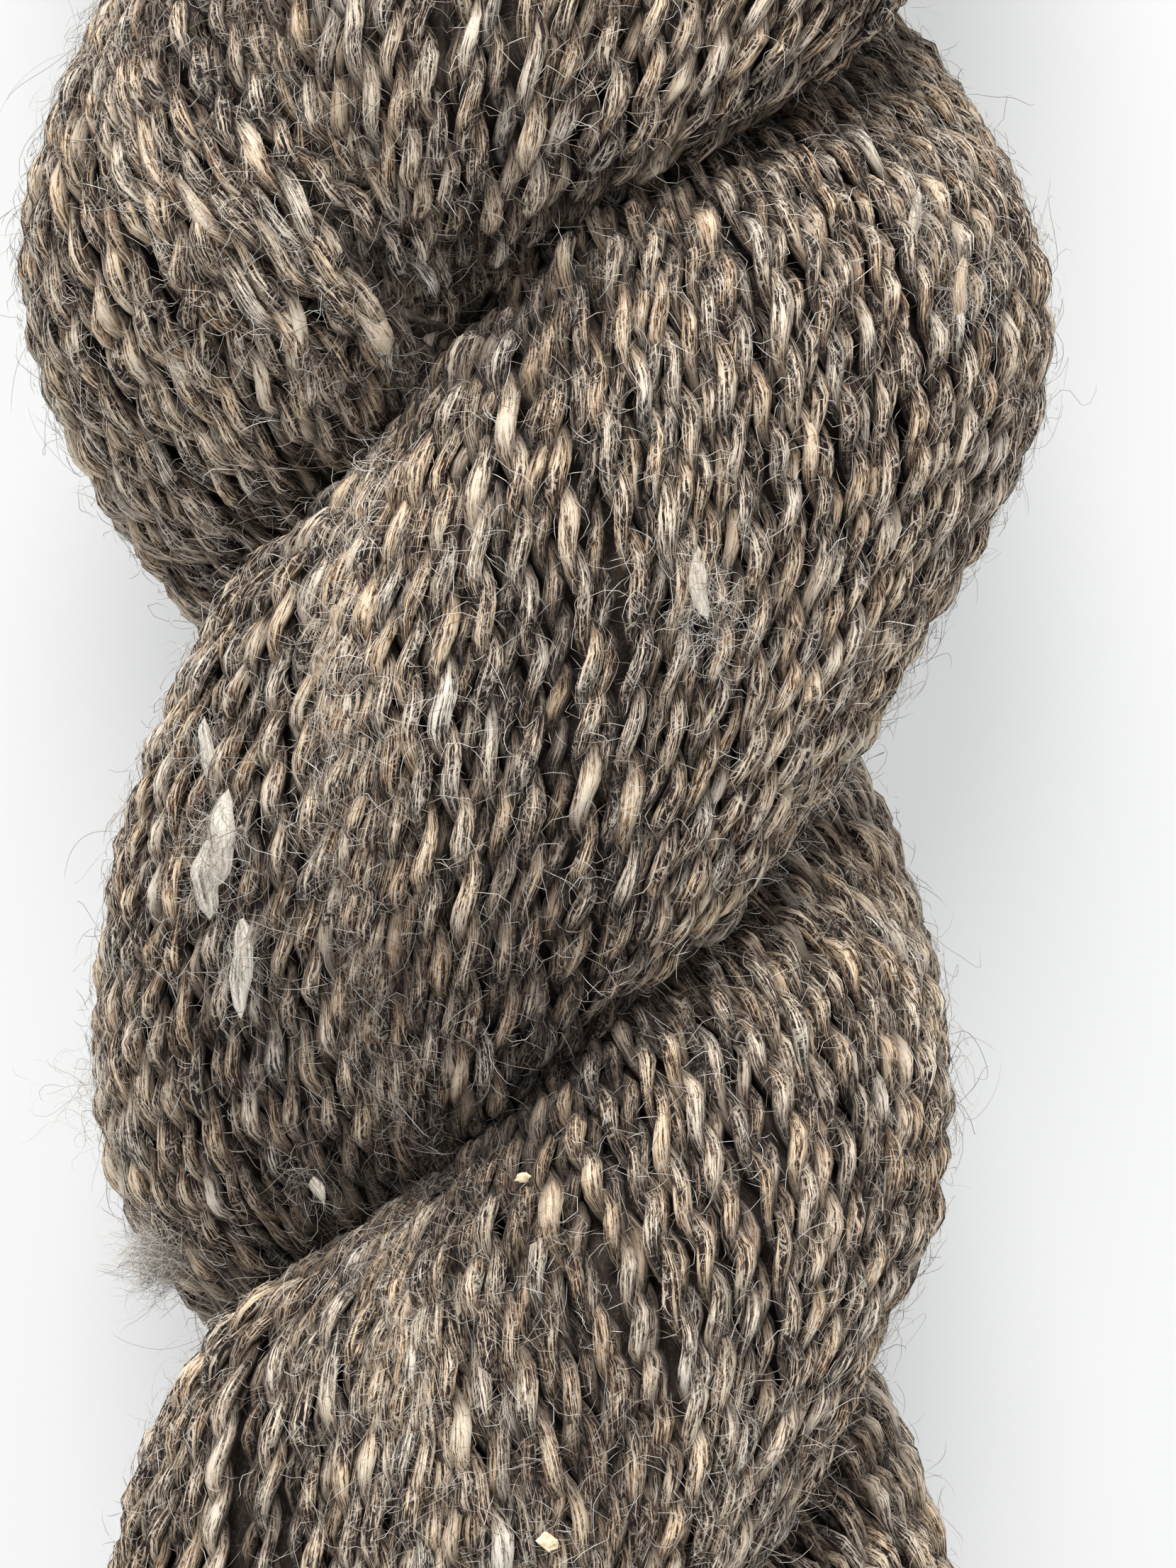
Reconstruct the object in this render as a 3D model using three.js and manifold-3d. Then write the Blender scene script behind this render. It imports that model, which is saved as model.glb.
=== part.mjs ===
// A twisted hank of two-ply alpaca yarn, lying on its side on a flat surface.
// A skein is twisted, doubled on itself and let ply up: two thick strands turn about one another
// from the fold, at +Y, to the tucked end, at -Y, where one end of the skein is wrapped as a band
// round the other, which comes out as a short tail loop.
// Millimetres. Y runs along the hank, Z is up, and the origin is the middle of its footprint.

import * as THREE from 'three';
import { mergeVertices } from 'three/addons/utils/BufferGeometryUtils.js';
import Module from 'manifold-3d';

const wasm = await Module();
wasm.setup();

const YARN_COLOUR = 0x6b5a49;

// Driving sizes
const FOLD_TIP = 140;
const FOLD_DOME = 30;
const BODY_END = -118;
const BODY_END_DOME = 18;
const STATION_STEP = 3.5;
const DOME_STEPS = 7;
const COLUMNS_PER_STRAND = 20;

// The axis lies this far from the middle of the footprint, because the bulges aren't alike.
const AXIS_X = -0.72;

// A section is this much lower than it is wide, and its underside is pressed flat by this much.
const FLATTENING = 0.8;
const PRESSED = 2.8;

// Sections of the twisted body, from the fold down.
// left and right: reach of the strands' crests from the axis, towards -X and +X.
// groove: distance of the groove's floor from the axis.
// a and b: where the two grooves lie round the axis, in degrees from straight up towards +X.
const SECTIONS = [
  { y: 140, left: 36, right: 36, groove: 30, a: 322, b: 502 },
  { y: 126, left: 36, right: 36, groove: 28, a: 276, b: 456 },
  { y: 114, left: 36.5, right: 36.5, groove: 23, a: 236, b: 416 },
  { y: 104, left: 37, right: 37, groove: 18, a: 203, b: 383 },
  { y: 88, left: 37, right: 37, groove: 18, a: 150, b: 328 },
  { y: 69, left: 37, right: 37.5, groove: 19, a: 90, b: 266 },
  { y: 60, left: 38, right: 38, groove: 18, a: 56, b: 238 },
  { y: 54, left: 38, right: 38.5, groove: 17, a: 27, b: 219 },
  { y: 48, left: 38, right: 39, groove: 16, a: 0, b: 200 },
  { y: 42, left: 37, right: 39, groove: 15, a: -14, b: 182 },
  { y: 35, left: 35, right: 38, groove: 14, a: -31, b: 163 },
  { y: 29, left: 33.5, right: 36.5, groove: 14, a: -55, b: 143 },
  { y: 24, left: 33, right: 35.5, groove: 13, a: -82, b: 127 },
  { y: 19, left: 33, right: 34.5, groove: 13, a: -99, b: 112 },
  { y: 12, left: 33, right: 33.5, groove: 13, a: -121, b: 91 },
  { y: 5, left: 33, right: 32.5, groove: 13, a: -144, b: 69 },
  { y: 0, left: 33, right: 32, groove: 13, a: -160, b: 53 },
  { y: -4, left: 33, right: 32, groove: 13, a: -174, b: 33 },
  { y: -10, left: 33, right: 32, groove: 13, a: -194, b: 11 },
  { y: -20, left: 33, right: 32.5, groove: 13, a: -229, b: -25 },
  { y: -31, left: 33, right: 34, groove: 14, a: -266, b: -84 },
  { y: -39, left: 33, right: 34.5, groove: 14, a: -283, b: -112 },
  { y: -47, left: 33, right: 34.5, groove: 14, a: -301, b: -138 },
  { y: -57, left: 33, right: 34.5, groove: 13, a: -340, b: -172 },
  { y: -75, left: 33, right: 33, groove: 13, a: -426, b: -248 },
  { y: -92, left: 29, right: 29, groove: 12, a: -484, b: -306 },
  { y: -106, left: 23, right: 23, groove: 12, a: -520, b: -345 },
  { y: -118, left: 20, right: 20, groove: 12, a: -540, b: -365 },
];

// A bundle of yarn near the fold has slipped over its neighbour, with a valley beside it.
// Rows of the valley's path: y, and azimuth in degrees as above.
const VALLEY_PATH = [
  { y: 88, azimuth: -76 },
  { y: 72, azimuth: -46 },
  { y: 60, azimuth: -33 },
  { y: 53, azimuth: -24 },
  { y: 48, azimuth: -15 },
  { y: 43, azimuth: -11 },
];
const VALLEY = { halfWidth: 8, halfDepth: 9, depth: 6.5, topDome: 14, bottomDome: 5 };
const VALLEY_COLUMNS_PER_SIDE = 7;
const VALLEY_STEP = 3.6;

// The skein's end wrapped as a band round the neck
const BAND = { y: -107, tilt: 17, reach: 29, height: 50, thick: 22, along: 26 };
const BAND_ROUND_STEPS = 12;
const BAND_TURN_STEPS = 36;

// The tail loop: its two legs lie side by side and turn at the tip.
const TAIL = { from: -98, tip: -140, dome: 20, half: 20, height: 33, groove: 15 };
const TAIL_COLUMNS_PER_LEG = 10;
const TAIL_STEP = 4;
const TRIM_BOX = 400;

const radians = THREE.MathUtils.degToRad;
const mix = THREE.MathUtils.lerp;

/** Value of a column of a table at y. The table's rows run from high y to low y. */
function tableValue(rows, y, column) {
  const last = rows.length - 1;
  if (y >= rows[0].y) return rows[0][column];
  if (y <= rows[last].y) return rows[last][column];
  const next = rows.findIndex((row) => row.y <= y);
  const above = rows[next - 1];
  const below = rows[next];
  return mix(below[column], above[column], (y - below.y) / (above.y - below.y));
}

/** Height of the axis at y: soft enough that every bulge comes down to the surface. */
function axisHeight(y) {
  const reach = (tableValue(SECTIONS, y, 'left') + tableValue(SECTIONS, y, 'right')) / 2;
  return FLATTENING * reach - PRESSED;
}

/** Reach of the strands' crests at y and an azimuth in degrees. */
function crestReach(y, azimuth) {
  const side = Math.sin(radians(azimuth));
  return mix(tableValue(SECTIONS, y, 'left'), tableValue(SECTIONS, y, 'right'), (1 + side) / 2);
}

/** The point at y that lies this far from the axis at an azimuth in degrees. */
function placed(y, azimuth, radius) {
  const across = radius * Math.sin(radians(azimuth));
  const up = FLATTENING * radius * Math.cos(radians(azimuth));
  return new THREE.Vector3(AXIS_X + across, y, axisHeight(y) + up);
}

/** A point on the twisted body. strand is 0 or 1, and round runs from 0 to 1 over its back. */
function bodyPoint(y, shrink, strand, round) {
  const a = tableValue(SECTIONS, y, 'a');
  const b = tableValue(SECTIONS, y, 'b');
  const start = strand === 0 ? a : b;
  const end = strand === 0 ? b : a + 360;
  const azimuth = mix(start, end, (1 - Math.cos(round * Math.PI)) / 2);
  const groove = tableValue(SECTIONS, y, 'groove');
  return placed(y, azimuth, shrink * mix(groove, crestReach(y, azimuth), Math.sin(round * Math.PI)));
}

/** How far the second strand's surface lies from the axis at y and an azimuth, here -180 to 180. */
function secondStrandRadius(y, azimuth) {
  const start = tableValue(SECTIONS, y, 'b') - 360;
  const end = tableValue(SECTIONS, y, 'a');
  const across = THREE.MathUtils.clamp((azimuth - start) / (end - start), 0, 1);
  const back = Math.sqrt(1 - (2 * across - 1) ** 2);
  return mix(tableValue(SECTIONS, y, 'groove'), crestReach(y, azimuth), back);
}

/** A point on the round body that is cut away to leave the valley beside the slipped bundle. */
function valleyPoint(y, shrink, half, round) {
  const azimuth = tableValue(VALLEY_PATH, y, 'azimuth');
  const turn = Math.PI * (half + round);
  const centre = secondStrandRadius(y, azimuth) + VALLEY.halfDepth - VALLEY.depth;
  const point = placed(y, azimuth, centre + shrink * VALLEY.halfDepth * Math.cos(turn));
  const across = shrink * VALLEY.halfWidth * Math.sin(turn);
  point.x += across * Math.cos(radians(azimuth));
  point.z -= across * Math.sin(radians(azimuth));
  return point;
}

/** Rows of a body that is closed by a dome at each end: { y, shrink }, from high y to low y. */
function stations(top, topDome, bottom, bottomDome, step) {
  const rows = [];
  for (let i = 0; i < DOME_STEPS; i += 1) {
    const angle = (i / DOME_STEPS) * (Math.PI / 2);
    rows.push({ y: top - topDome + topDome * Math.cos(angle), shrink: Math.sin(angle) });
  }
  const first = top - topDome;
  const last = bottom + bottomDome;
  const count = Math.round((first - last) / step);
  for (let i = 0; i <= count; i += 1) {
    rows.push({ y: mix(first, last, i / count), shrink: 1 });
  }
  for (let i = DOME_STEPS - 1; i >= 0; i -= 1) {
    const angle = (i / DOME_STEPS) * (Math.PI / 2);
    rows.push({ y: last - bottomDome * Math.cos(angle), shrink: Math.sin(angle) });
  }
  return rows;
}

/** A closed geometry from rows of sections, each with columns over two strands. */
function lobedGeometry(rows, columnsPerStrand, pointAt) {
  const columns = 2 * columnsPerStrand;
  const geometry = new THREE.SphereGeometry(1, columns, rows.length - 1);
  const position = geometry.attributes.position;
  rows.forEach((row, i) => {
    for (let j = 0; j <= columns; j += 1) {
      const column = j % columns;
      const strand = column < columnsPerStrand ? 0 : 1;
      const round = (column % columnsPerStrand) / columnsPerStrand;
      const point = pointAt(row.y, row.shrink, strand, round);
      position.setXYZ(i * (columns + 1) + j, point.x, point.y, point.z);
    }
  });
  return geometry;
}

/** Volume of a closed indexed geometry, negative where its faces point in. */
function signedVolume(geometry) {
  const { position } = geometry.attributes;
  const index = geometry.index.array;
  const corner = [new THREE.Vector3(), new THREE.Vector3(), new THREE.Vector3()];
  let total = 0;
  for (let i = 0; i < index.length; i += 3) {
    corner.forEach((point, k) => point.fromBufferAttribute(position, index[i + k]));
    total += corner[0].dot(corner[1].cross(corner[2]));
  }
  return total / 6;
}

/** A three.js geometry as a solid that can be joined and cut, with its faces turned outwards. */
function toSolid(geometry) {
  const bare = geometry.clone();
  bare.deleteAttribute('normal');
  bare.deleteAttribute('uv');
  const merged = mergeVertices(bare, 1e-4);
  const triangles = Array.from(merged.index.array);
  if (signedVolume(merged) < 0) triangles.reverse();
  return new wasm.Manifold(new wasm.Mesh({
    numProp: 3,
    vertProperties: Float32Array.from(merged.attributes.position.array),
    triVerts: Uint32Array.from(triangles),
  }));
}

/** A joined solid back as a three.js geometry. */
function toGeometry(solid) {
  const mesh = solid.getMesh();
  const geometry = new THREE.BufferGeometry();
  geometry.setAttribute('position', new THREE.BufferAttribute(mesh.vertProperties, 3));
  geometry.setIndex(new THREE.BufferAttribute(mesh.triVerts, 1));
  geometry.computeVertexNormals();
  return geometry;
}

/** The two strands, twisted about one another from the fold to the neck. */
function twistedBody() {
  const rows = stations(FOLD_TIP, FOLD_DOME, BODY_END, BODY_END_DOME, STATION_STEP);
  return lobedGeometry(rows, COLUMNS_PER_STRAND, bodyPoint);
}

/** What is cut away beside the slipped bundle. */
function valley() {
  const top = VALLEY_PATH[0].y;
  const bottom = VALLEY_PATH[VALLEY_PATH.length - 1].y;
  const rows = stations(top, VALLEY.topDome, bottom, VALLEY.bottomDome, VALLEY_STEP);
  return lobedGeometry(rows, VALLEY_COLUMNS_PER_SIDE, valleyPoint);
}

/** The end of the skein that is wrapped round the neck, a soft ring that leans a little. */
function neckBand() {
  const tube = BAND.thick / 2;
  const ring = new THREE.TorusGeometry(BAND.reach - tube, tube, BAND_ROUND_STEPS, BAND_TURN_STEPS);
  ring.scale(1, BAND.height / (2 * BAND.reach), BAND.along / BAND.thick);
  ring.rotateX(Math.PI / 2);
  ring.rotateZ(radians(BAND.tilt));
  ring.translate(0, BAND.y, BAND.height / 2 - PRESSED);
  return ring;
}

/** The tail loop, two legs side by side that turn at the tip. */
function tailLoop() {
  const rows = stations(TAIL.from, TAIL.dome, TAIL.tip, TAIL.dome, TAIL_STEP);
  const legPoint = (y, shrink, strand, round) => {
    const azimuth = 180 * (strand + (1 - Math.cos(round * Math.PI)) / 2);
    const turn = THREE.MathUtils.smoothstep(y, TAIL.tip, TAIL.tip + TAIL.dome);
    const groove = mix(TAIL.half, TAIL.groove, turn);
    const radius = shrink * mix(groove, TAIL.half, Math.sin(round * Math.PI));
    const across = radius * Math.sin(radians(azimuth));
    const up = radius * Math.cos(radians(azimuth)) * (TAIL.height / (2 * TAIL.half));
    return new THREE.Vector3(across, y, TAIL.height / 2 - PRESSED / 2 + up);
  };
  return lobedGeometry(rows, TAIL_COLUMNS_PER_LEG, legPoint);
}

/** What lies under the surface on which the hank rests. */
function underSurface() {
  const box = new THREE.BoxGeometry(TRIM_BOX, TRIM_BOX, TRIM_BOX);
  box.translate(0, 0, -TRIM_BOX / 2);
  return box;
}

const strands = toSolid(twistedBody()).subtract(toSolid(valley()));
const wound = strands.add(toSolid(neckBand())).add(toSolid(tailLoop()));
const rested = wound.subtract(toSolid(underSurface()));

const hank = new THREE.Mesh(
  toGeometry(rested),
  new THREE.MeshStandardMaterial({ color: YARN_COLOUR, roughness: 0.95, metalness: 0 }),
);
hank.name = 'hank';

const group = new THREE.Group();
group.add(hank);

export default group;
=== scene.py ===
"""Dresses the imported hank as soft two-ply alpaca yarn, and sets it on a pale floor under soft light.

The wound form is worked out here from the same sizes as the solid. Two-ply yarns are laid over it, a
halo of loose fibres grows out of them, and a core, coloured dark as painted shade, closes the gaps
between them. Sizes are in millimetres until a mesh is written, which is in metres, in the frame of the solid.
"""

import logging
import math
from dataclasses import dataclass, field, replace
from enum import Enum
from typing import NamedTuple, Self, Sequence

import bmesh
import bpy
import numpy as np
from mathutils import Matrix, Vector


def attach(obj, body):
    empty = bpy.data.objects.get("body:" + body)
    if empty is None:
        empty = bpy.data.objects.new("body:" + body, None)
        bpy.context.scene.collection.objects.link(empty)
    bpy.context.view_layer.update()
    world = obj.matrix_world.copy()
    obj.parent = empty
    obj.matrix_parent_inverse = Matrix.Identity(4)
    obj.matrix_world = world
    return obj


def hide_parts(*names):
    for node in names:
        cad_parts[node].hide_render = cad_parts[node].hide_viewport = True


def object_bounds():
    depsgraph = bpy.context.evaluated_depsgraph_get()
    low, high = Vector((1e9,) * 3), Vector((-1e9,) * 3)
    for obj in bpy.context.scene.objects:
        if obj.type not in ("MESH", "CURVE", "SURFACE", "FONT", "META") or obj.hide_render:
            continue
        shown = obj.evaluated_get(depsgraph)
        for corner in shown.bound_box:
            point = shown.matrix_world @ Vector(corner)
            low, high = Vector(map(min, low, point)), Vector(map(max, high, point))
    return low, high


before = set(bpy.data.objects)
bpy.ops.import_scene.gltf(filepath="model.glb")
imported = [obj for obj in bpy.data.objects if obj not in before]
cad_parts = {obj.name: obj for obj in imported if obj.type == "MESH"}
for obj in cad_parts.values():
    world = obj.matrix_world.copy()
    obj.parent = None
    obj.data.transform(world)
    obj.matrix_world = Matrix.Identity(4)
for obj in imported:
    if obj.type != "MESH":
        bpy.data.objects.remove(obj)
CAD_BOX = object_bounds()

LOG = logging.getLogger("hank")
METRES = 0.001
BODY = "root"
NODE = "hank"
SEED = 20
TURN = 2 * math.pi
NOISE_MIDDLE = 0.5

Array = np.ndarray
Colour = tuple[float, float, float]
Stops = Sequence[tuple[float, Colour]]
Socket = bpy.types.NodeSocket


class Section(NamedTuple):
    """A section of the twisted strands: reach to each side, groove floor and both grooves' directions."""

    y: float
    left: float
    right: float
    floor: float
    first: float
    second: float


SECTIONS = (
    Section(140, 36, 36, 30, 322, 502),
    Section(126, 36, 36, 28, 276, 456),
    Section(114, 36.5, 36.5, 23, 236, 416),
    Section(104, 37, 37, 18, 203, 383),
    Section(88, 37, 37, 18, 150, 328),
    Section(69, 37, 37.5, 19, 90, 266),
    Section(60, 38, 38, 18, 56, 238),
    Section(54, 38, 38.5, 17, 27, 219),
    Section(48, 38, 39, 16, 0, 200),
    Section(42, 37, 39, 15, -14, 182),
    Section(35, 35, 38, 14, -31, 163),
    Section(29, 33.5, 36.5, 14, -55, 143),
    Section(24, 33, 35.5, 13, -82, 127),
    Section(19, 33, 34.5, 13, -99, 112),
    Section(12, 33, 33.5, 13, -121, 91),
    Section(5, 33, 32.5, 13, -144, 69),
    Section(0, 33, 32, 13, -160, 53),
    Section(-4, 33, 32, 13, -174, 33),
    Section(-10, 33, 32, 13, -194, 11),
    Section(-20, 33, 32.5, 13, -229, -25),
    Section(-31, 33, 34, 14, -266, -84),
    Section(-39, 33, 34.5, 14, -283, -112),
    Section(-47, 33, 34.5, 14, -301, -138),
    Section(-57, 33, 34.5, 13, -340, -172),
    Section(-75, 33, 33, 13, -426, -248),
    Section(-92, 29, 29, 12, -484, -306),
    Section(-106, 23, 23, 12, -520, -345),
    Section(-118, 20, 20, 12, -540, -365),
)


class Column(Enum):
    """A measure of the sections. AGAIN is the first groove after a whole turn."""

    LEFT = "left"
    RIGHT = "right"
    FLOOR = "floor"
    FIRST = "first"
    SECOND = "second"
    AGAIN = "again"


class EdgePoint(NamedTuple):
    """A point of a line along the hank: how far along, and its direction from the axis in degrees."""

    y: float
    azimuth: float


VALLEY_PATH = (
    EdgePoint(88, -76),
    EdgePoint(72, -46),
    EdgePoint(60, -33),
    EdgePoint(53, -24),
    EdgePoint(48, -15),
    EdgePoint(43, -11),
)
BUNDLE_EDGE = (
    EdgePoint(15, -6),
    EdgePoint(30, -12),
    EdgePoint(43, -19),
    EdgePoint(48, -24),
    EdgePoint(53, -33),
    EdgePoint(60, -43),
    EdgePoint(72, -56),
    EdgePoint(90, -86),
)


class Lean(NamedTuple):
    """Where the yarns lean in the picture: middle of the patch, lean to the right, and reach both ways."""

    y: float
    azimuth: float
    lean: float
    along: float
    across: float


LEANS = (
    Lean(-32, -8, -21, 22, 34),
    Lean(31, 40, -9, 20, 34),
    Lean(66, -44, -34, 14, 24),
)


class Dim(NamedTuple):
    """A patch of painted shade: its middle, its reach both ways, and how much painted shade it adds, as
    millimetres of depth; a negative amount is painted light.
    """

    x: float
    y: float
    across: float
    along: float
    painted_shade: float


# Patches of painted shade; those with a negative amount are painted light.
DIMS = (
    Dim(-8, -3, 13, 10, 0.95),
    Dim(-11, -20, 11, 7, 1.0),
    Dim(-24, 66, 14, 12, 0.45),
    Dim(0, 18, 7, 7, -0.4),
    Dim(-6, -40, 18, 9, 0.2),
    Dim(24, -16, 12, 15, 0.3),
    Dim(0, 70, 14, 8, -0.2),
    Dim(-26, 36, 8, 8, -0.5),
    Dim(8, 40, 26, 14, -0.1),
    Dim(-21, -10, 13, 11, 0.3),
    Dim(-20, 14, 14, 12, 0.12),
    Dim(-34, 56, 6, 8, 0.3),
    Dim(30, -20, 8, 14, 0.2),
    Dim(6, 28, 10, 6, -0.15),
)


class Route(NamedTuple):
    """Where the picture shows a loose yarn, from its upper end down: pixels across and down."""

    across: tuple[int, ...]
    down: tuple[int, ...]


ROUTES = (
    Route(
        across=(285, 293, 330, 352, 381, 405, 432, 470, 514, 539, 565, 609, 627, 633),
        down=(-30, 15, 59, 103, 147, 190, 235, 271, 308, 345, 374, 396, 433, 500),
    ),
    Route(across=(240, 262, 285, 312, 338, 365, 385), down=(0, 50, 100, 165, 215, 270, 310)),
    Route(across=(395, 415, 440, 478, 520, 560, 600, 640), down=(40, 95, 160, 215, 262, 308, 350, 400)),
    Route(across=(300, 315, 337, 367, 396, 426, 455, 490), down=(115, 147, 183, 227, 271, 308, 345, 390)),
    Route(across=(262, 286, 315, 360, 389, 470, 543, 609), down=(240, 271, 297, 315, 352, 418, 484, 543)),
    Route(across=(215, 227, 242, 257, 279, 300, 322), down=(240, 286, 330, 374, 433, 490, 545)),
    Route(across=(290, 301, 323, 360, 411, 440, 462), down=(285, 323, 374, 426, 470, 514, 560)),
    Route(across=(350, 367, 404, 433, 448, 458), down=(365, 396, 440, 499, 543, 580)),
)


class Detail(Enum):
    """How finely a ply is spun: its sides, and the millimetres from ring to ring."""

    CLOSE = (5, 1.12)
    SHADED = (4, 1.3)
    SIDE = (4, 1.7)
    UNDER = (4, 2.8)

    @property
    def sides(self) -> int:
        """Sides of the ply's tube."""
        return self.value[0]

    @property
    def step(self) -> float:
        """Millimetres from ring to ring."""
        return self.value[1]


class Region(Enum):
    """A stretch of the hank whose yarns are one piece, by its lower end."""

    FOLD = 82.0
    UPPER = 38.0
    MIDDLE = -4.0
    LOWER = -46.0
    NECK = -88.0
    TAIL = -math.inf

    @classmethod
    def at(cls, y: float) -> Self:
        """The stretch that holds y."""
        return next(region for region in cls if y > region.value)

    @property
    def piece(self) -> str:
        """Name of the piece."""
        return f"hank_yarn_{self.name.lower()}"


class Ripple(NamedTuple):
    """An uneven line: how far it sways, and how quickly."""

    sway: float
    pace: float

    def at(self, t: Array | float, shift: Array | float) -> Array | float:
        """How far it has swayed at t."""
        return self.sway * np.sin(self.pace * t + shift)


def half_turn(degrees: Array | float) -> Array | float:
    """Directions brought to within half a turn of straight up."""
    return (degrees + 180) % 360 - 180


def unit(vectors: Array) -> Array:
    """Vectors at length one."""
    return vectors / np.maximum(np.linalg.norm(vectors, axis=-1, keepdims=True), 1e-9)


def step_lengths(points: Array) -> Array:
    """Distances from each point of a line to the next."""
    return np.linalg.norm(np.diff(points, axis=0), axis=1)


def run_lengths(points: Array) -> Array:
    """How far along a line each of its points lies."""
    return np.concatenate([[0.0], np.cumsum(step_lengths(points))])


def rows_between(wanted: Array, places: Array, rows: Array) -> Array:
    """Rows interpolated at the wanted places."""
    return np.stack([np.interp(wanted, places, column) for column in rows.T], axis=1)


def averaged(values: Array, weights: Array) -> Array:
    """Values averaged with their neighbours by these weights, and kept at the ends."""
    padded = np.pad(values, len(weights) // 2, mode="reflect", reflect_type="odd")
    return np.convolve(padded, weights / weights.sum(), mode="valid")


def resampled(points: Array, step: float, fewest: int = 4) -> tuple[Array, Array]:
    """Points at even steps along a line.

    Args:
        points: The line's points, one row each.
        step: Rough distance between points.
        fewest: The least number of points.

    Returns:
        The new points, and where each lies between the old ones.
    """
    along = run_lengths(points)
    wanted = np.linspace(0, along[-1], max(fewest, int(round(along[-1] / step)) + 1))
    place = np.interp(wanted, along, np.arange(len(along)))
    return rows_between(wanted, along, points), place


def soft_noise(rng: np.random.Generator, s: Array, waves: Sequence[float]) -> Array:
    """Slow noise of about -1 to 1 along a line.

    Args:
        rng: Source of the random stretches and shifts.
        s: How far along the line each value is.
        waves: Rough wavelengths of the sines that it adds up.

    Returns:
        A value for each place.
    """
    stretched, height = (0.8, 1.25), 1.3
    total = np.zeros_like(s)
    for wave in waves:
        stretch = wave * rng.uniform(*stretched)
        total += np.sin(TURN * s / stretch + rng.uniform(0, TURN))
    return total / math.sqrt(len(waves)) / height


def carried_frames(points: Array, facing: Array) -> tuple[Array, Array, Array]:
    """Directions along a line, outwards and across, carried from its middle without twist.

    Args:
        points: The line's points.
        facing: Rough outward directions.

    Returns:
        Unit vectors along, outwards and across at each point.
    """
    along = unit(np.gradient(points, axis=0))
    out = np.empty_like(points)
    middle = len(points) // 2
    start = facing[middle] - along[middle] * (facing[middle] @ along[middle])
    for order in (range(middle, len(points)), range(middle, -1, -1)):
        carried = start
        for i in order:
            carried = unit(carried - along[i] * (carried @ along[i]))
            out[i] = carried
    return along, out, np.cross(along, out)


def new_piece(name: str, mesh: bpy.types.Mesh, material: bpy.types.Material) -> bpy.types.Object:
    """Puts a finished mesh in the scene.

    Args:
        name: The piece's name.
        mesh: Its mesh, in metres.
        material: Its finish.

    Returns:
        The new object, at the origin.
    """
    mesh.materials.append(material)
    piece = bpy.data.objects.new(name, mesh)
    bpy.context.scene.collection.objects.link(piece)
    return piece


def shaped_piece(name: str, form: bmesh.types.BMesh, material: bpy.types.Material) -> bpy.types.Object:
    """Puts a finished bmesh in the scene and frees it.

    Args:
        name: The piece's name.
        form: Its shape, in metres.
        material: Its finish.

    Returns:
        The new object, at the origin.
    """
    mesh = bpy.data.meshes.new(name)
    form.to_mesh(mesh)
    form.free()
    return new_piece(name, mesh, material)


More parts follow.
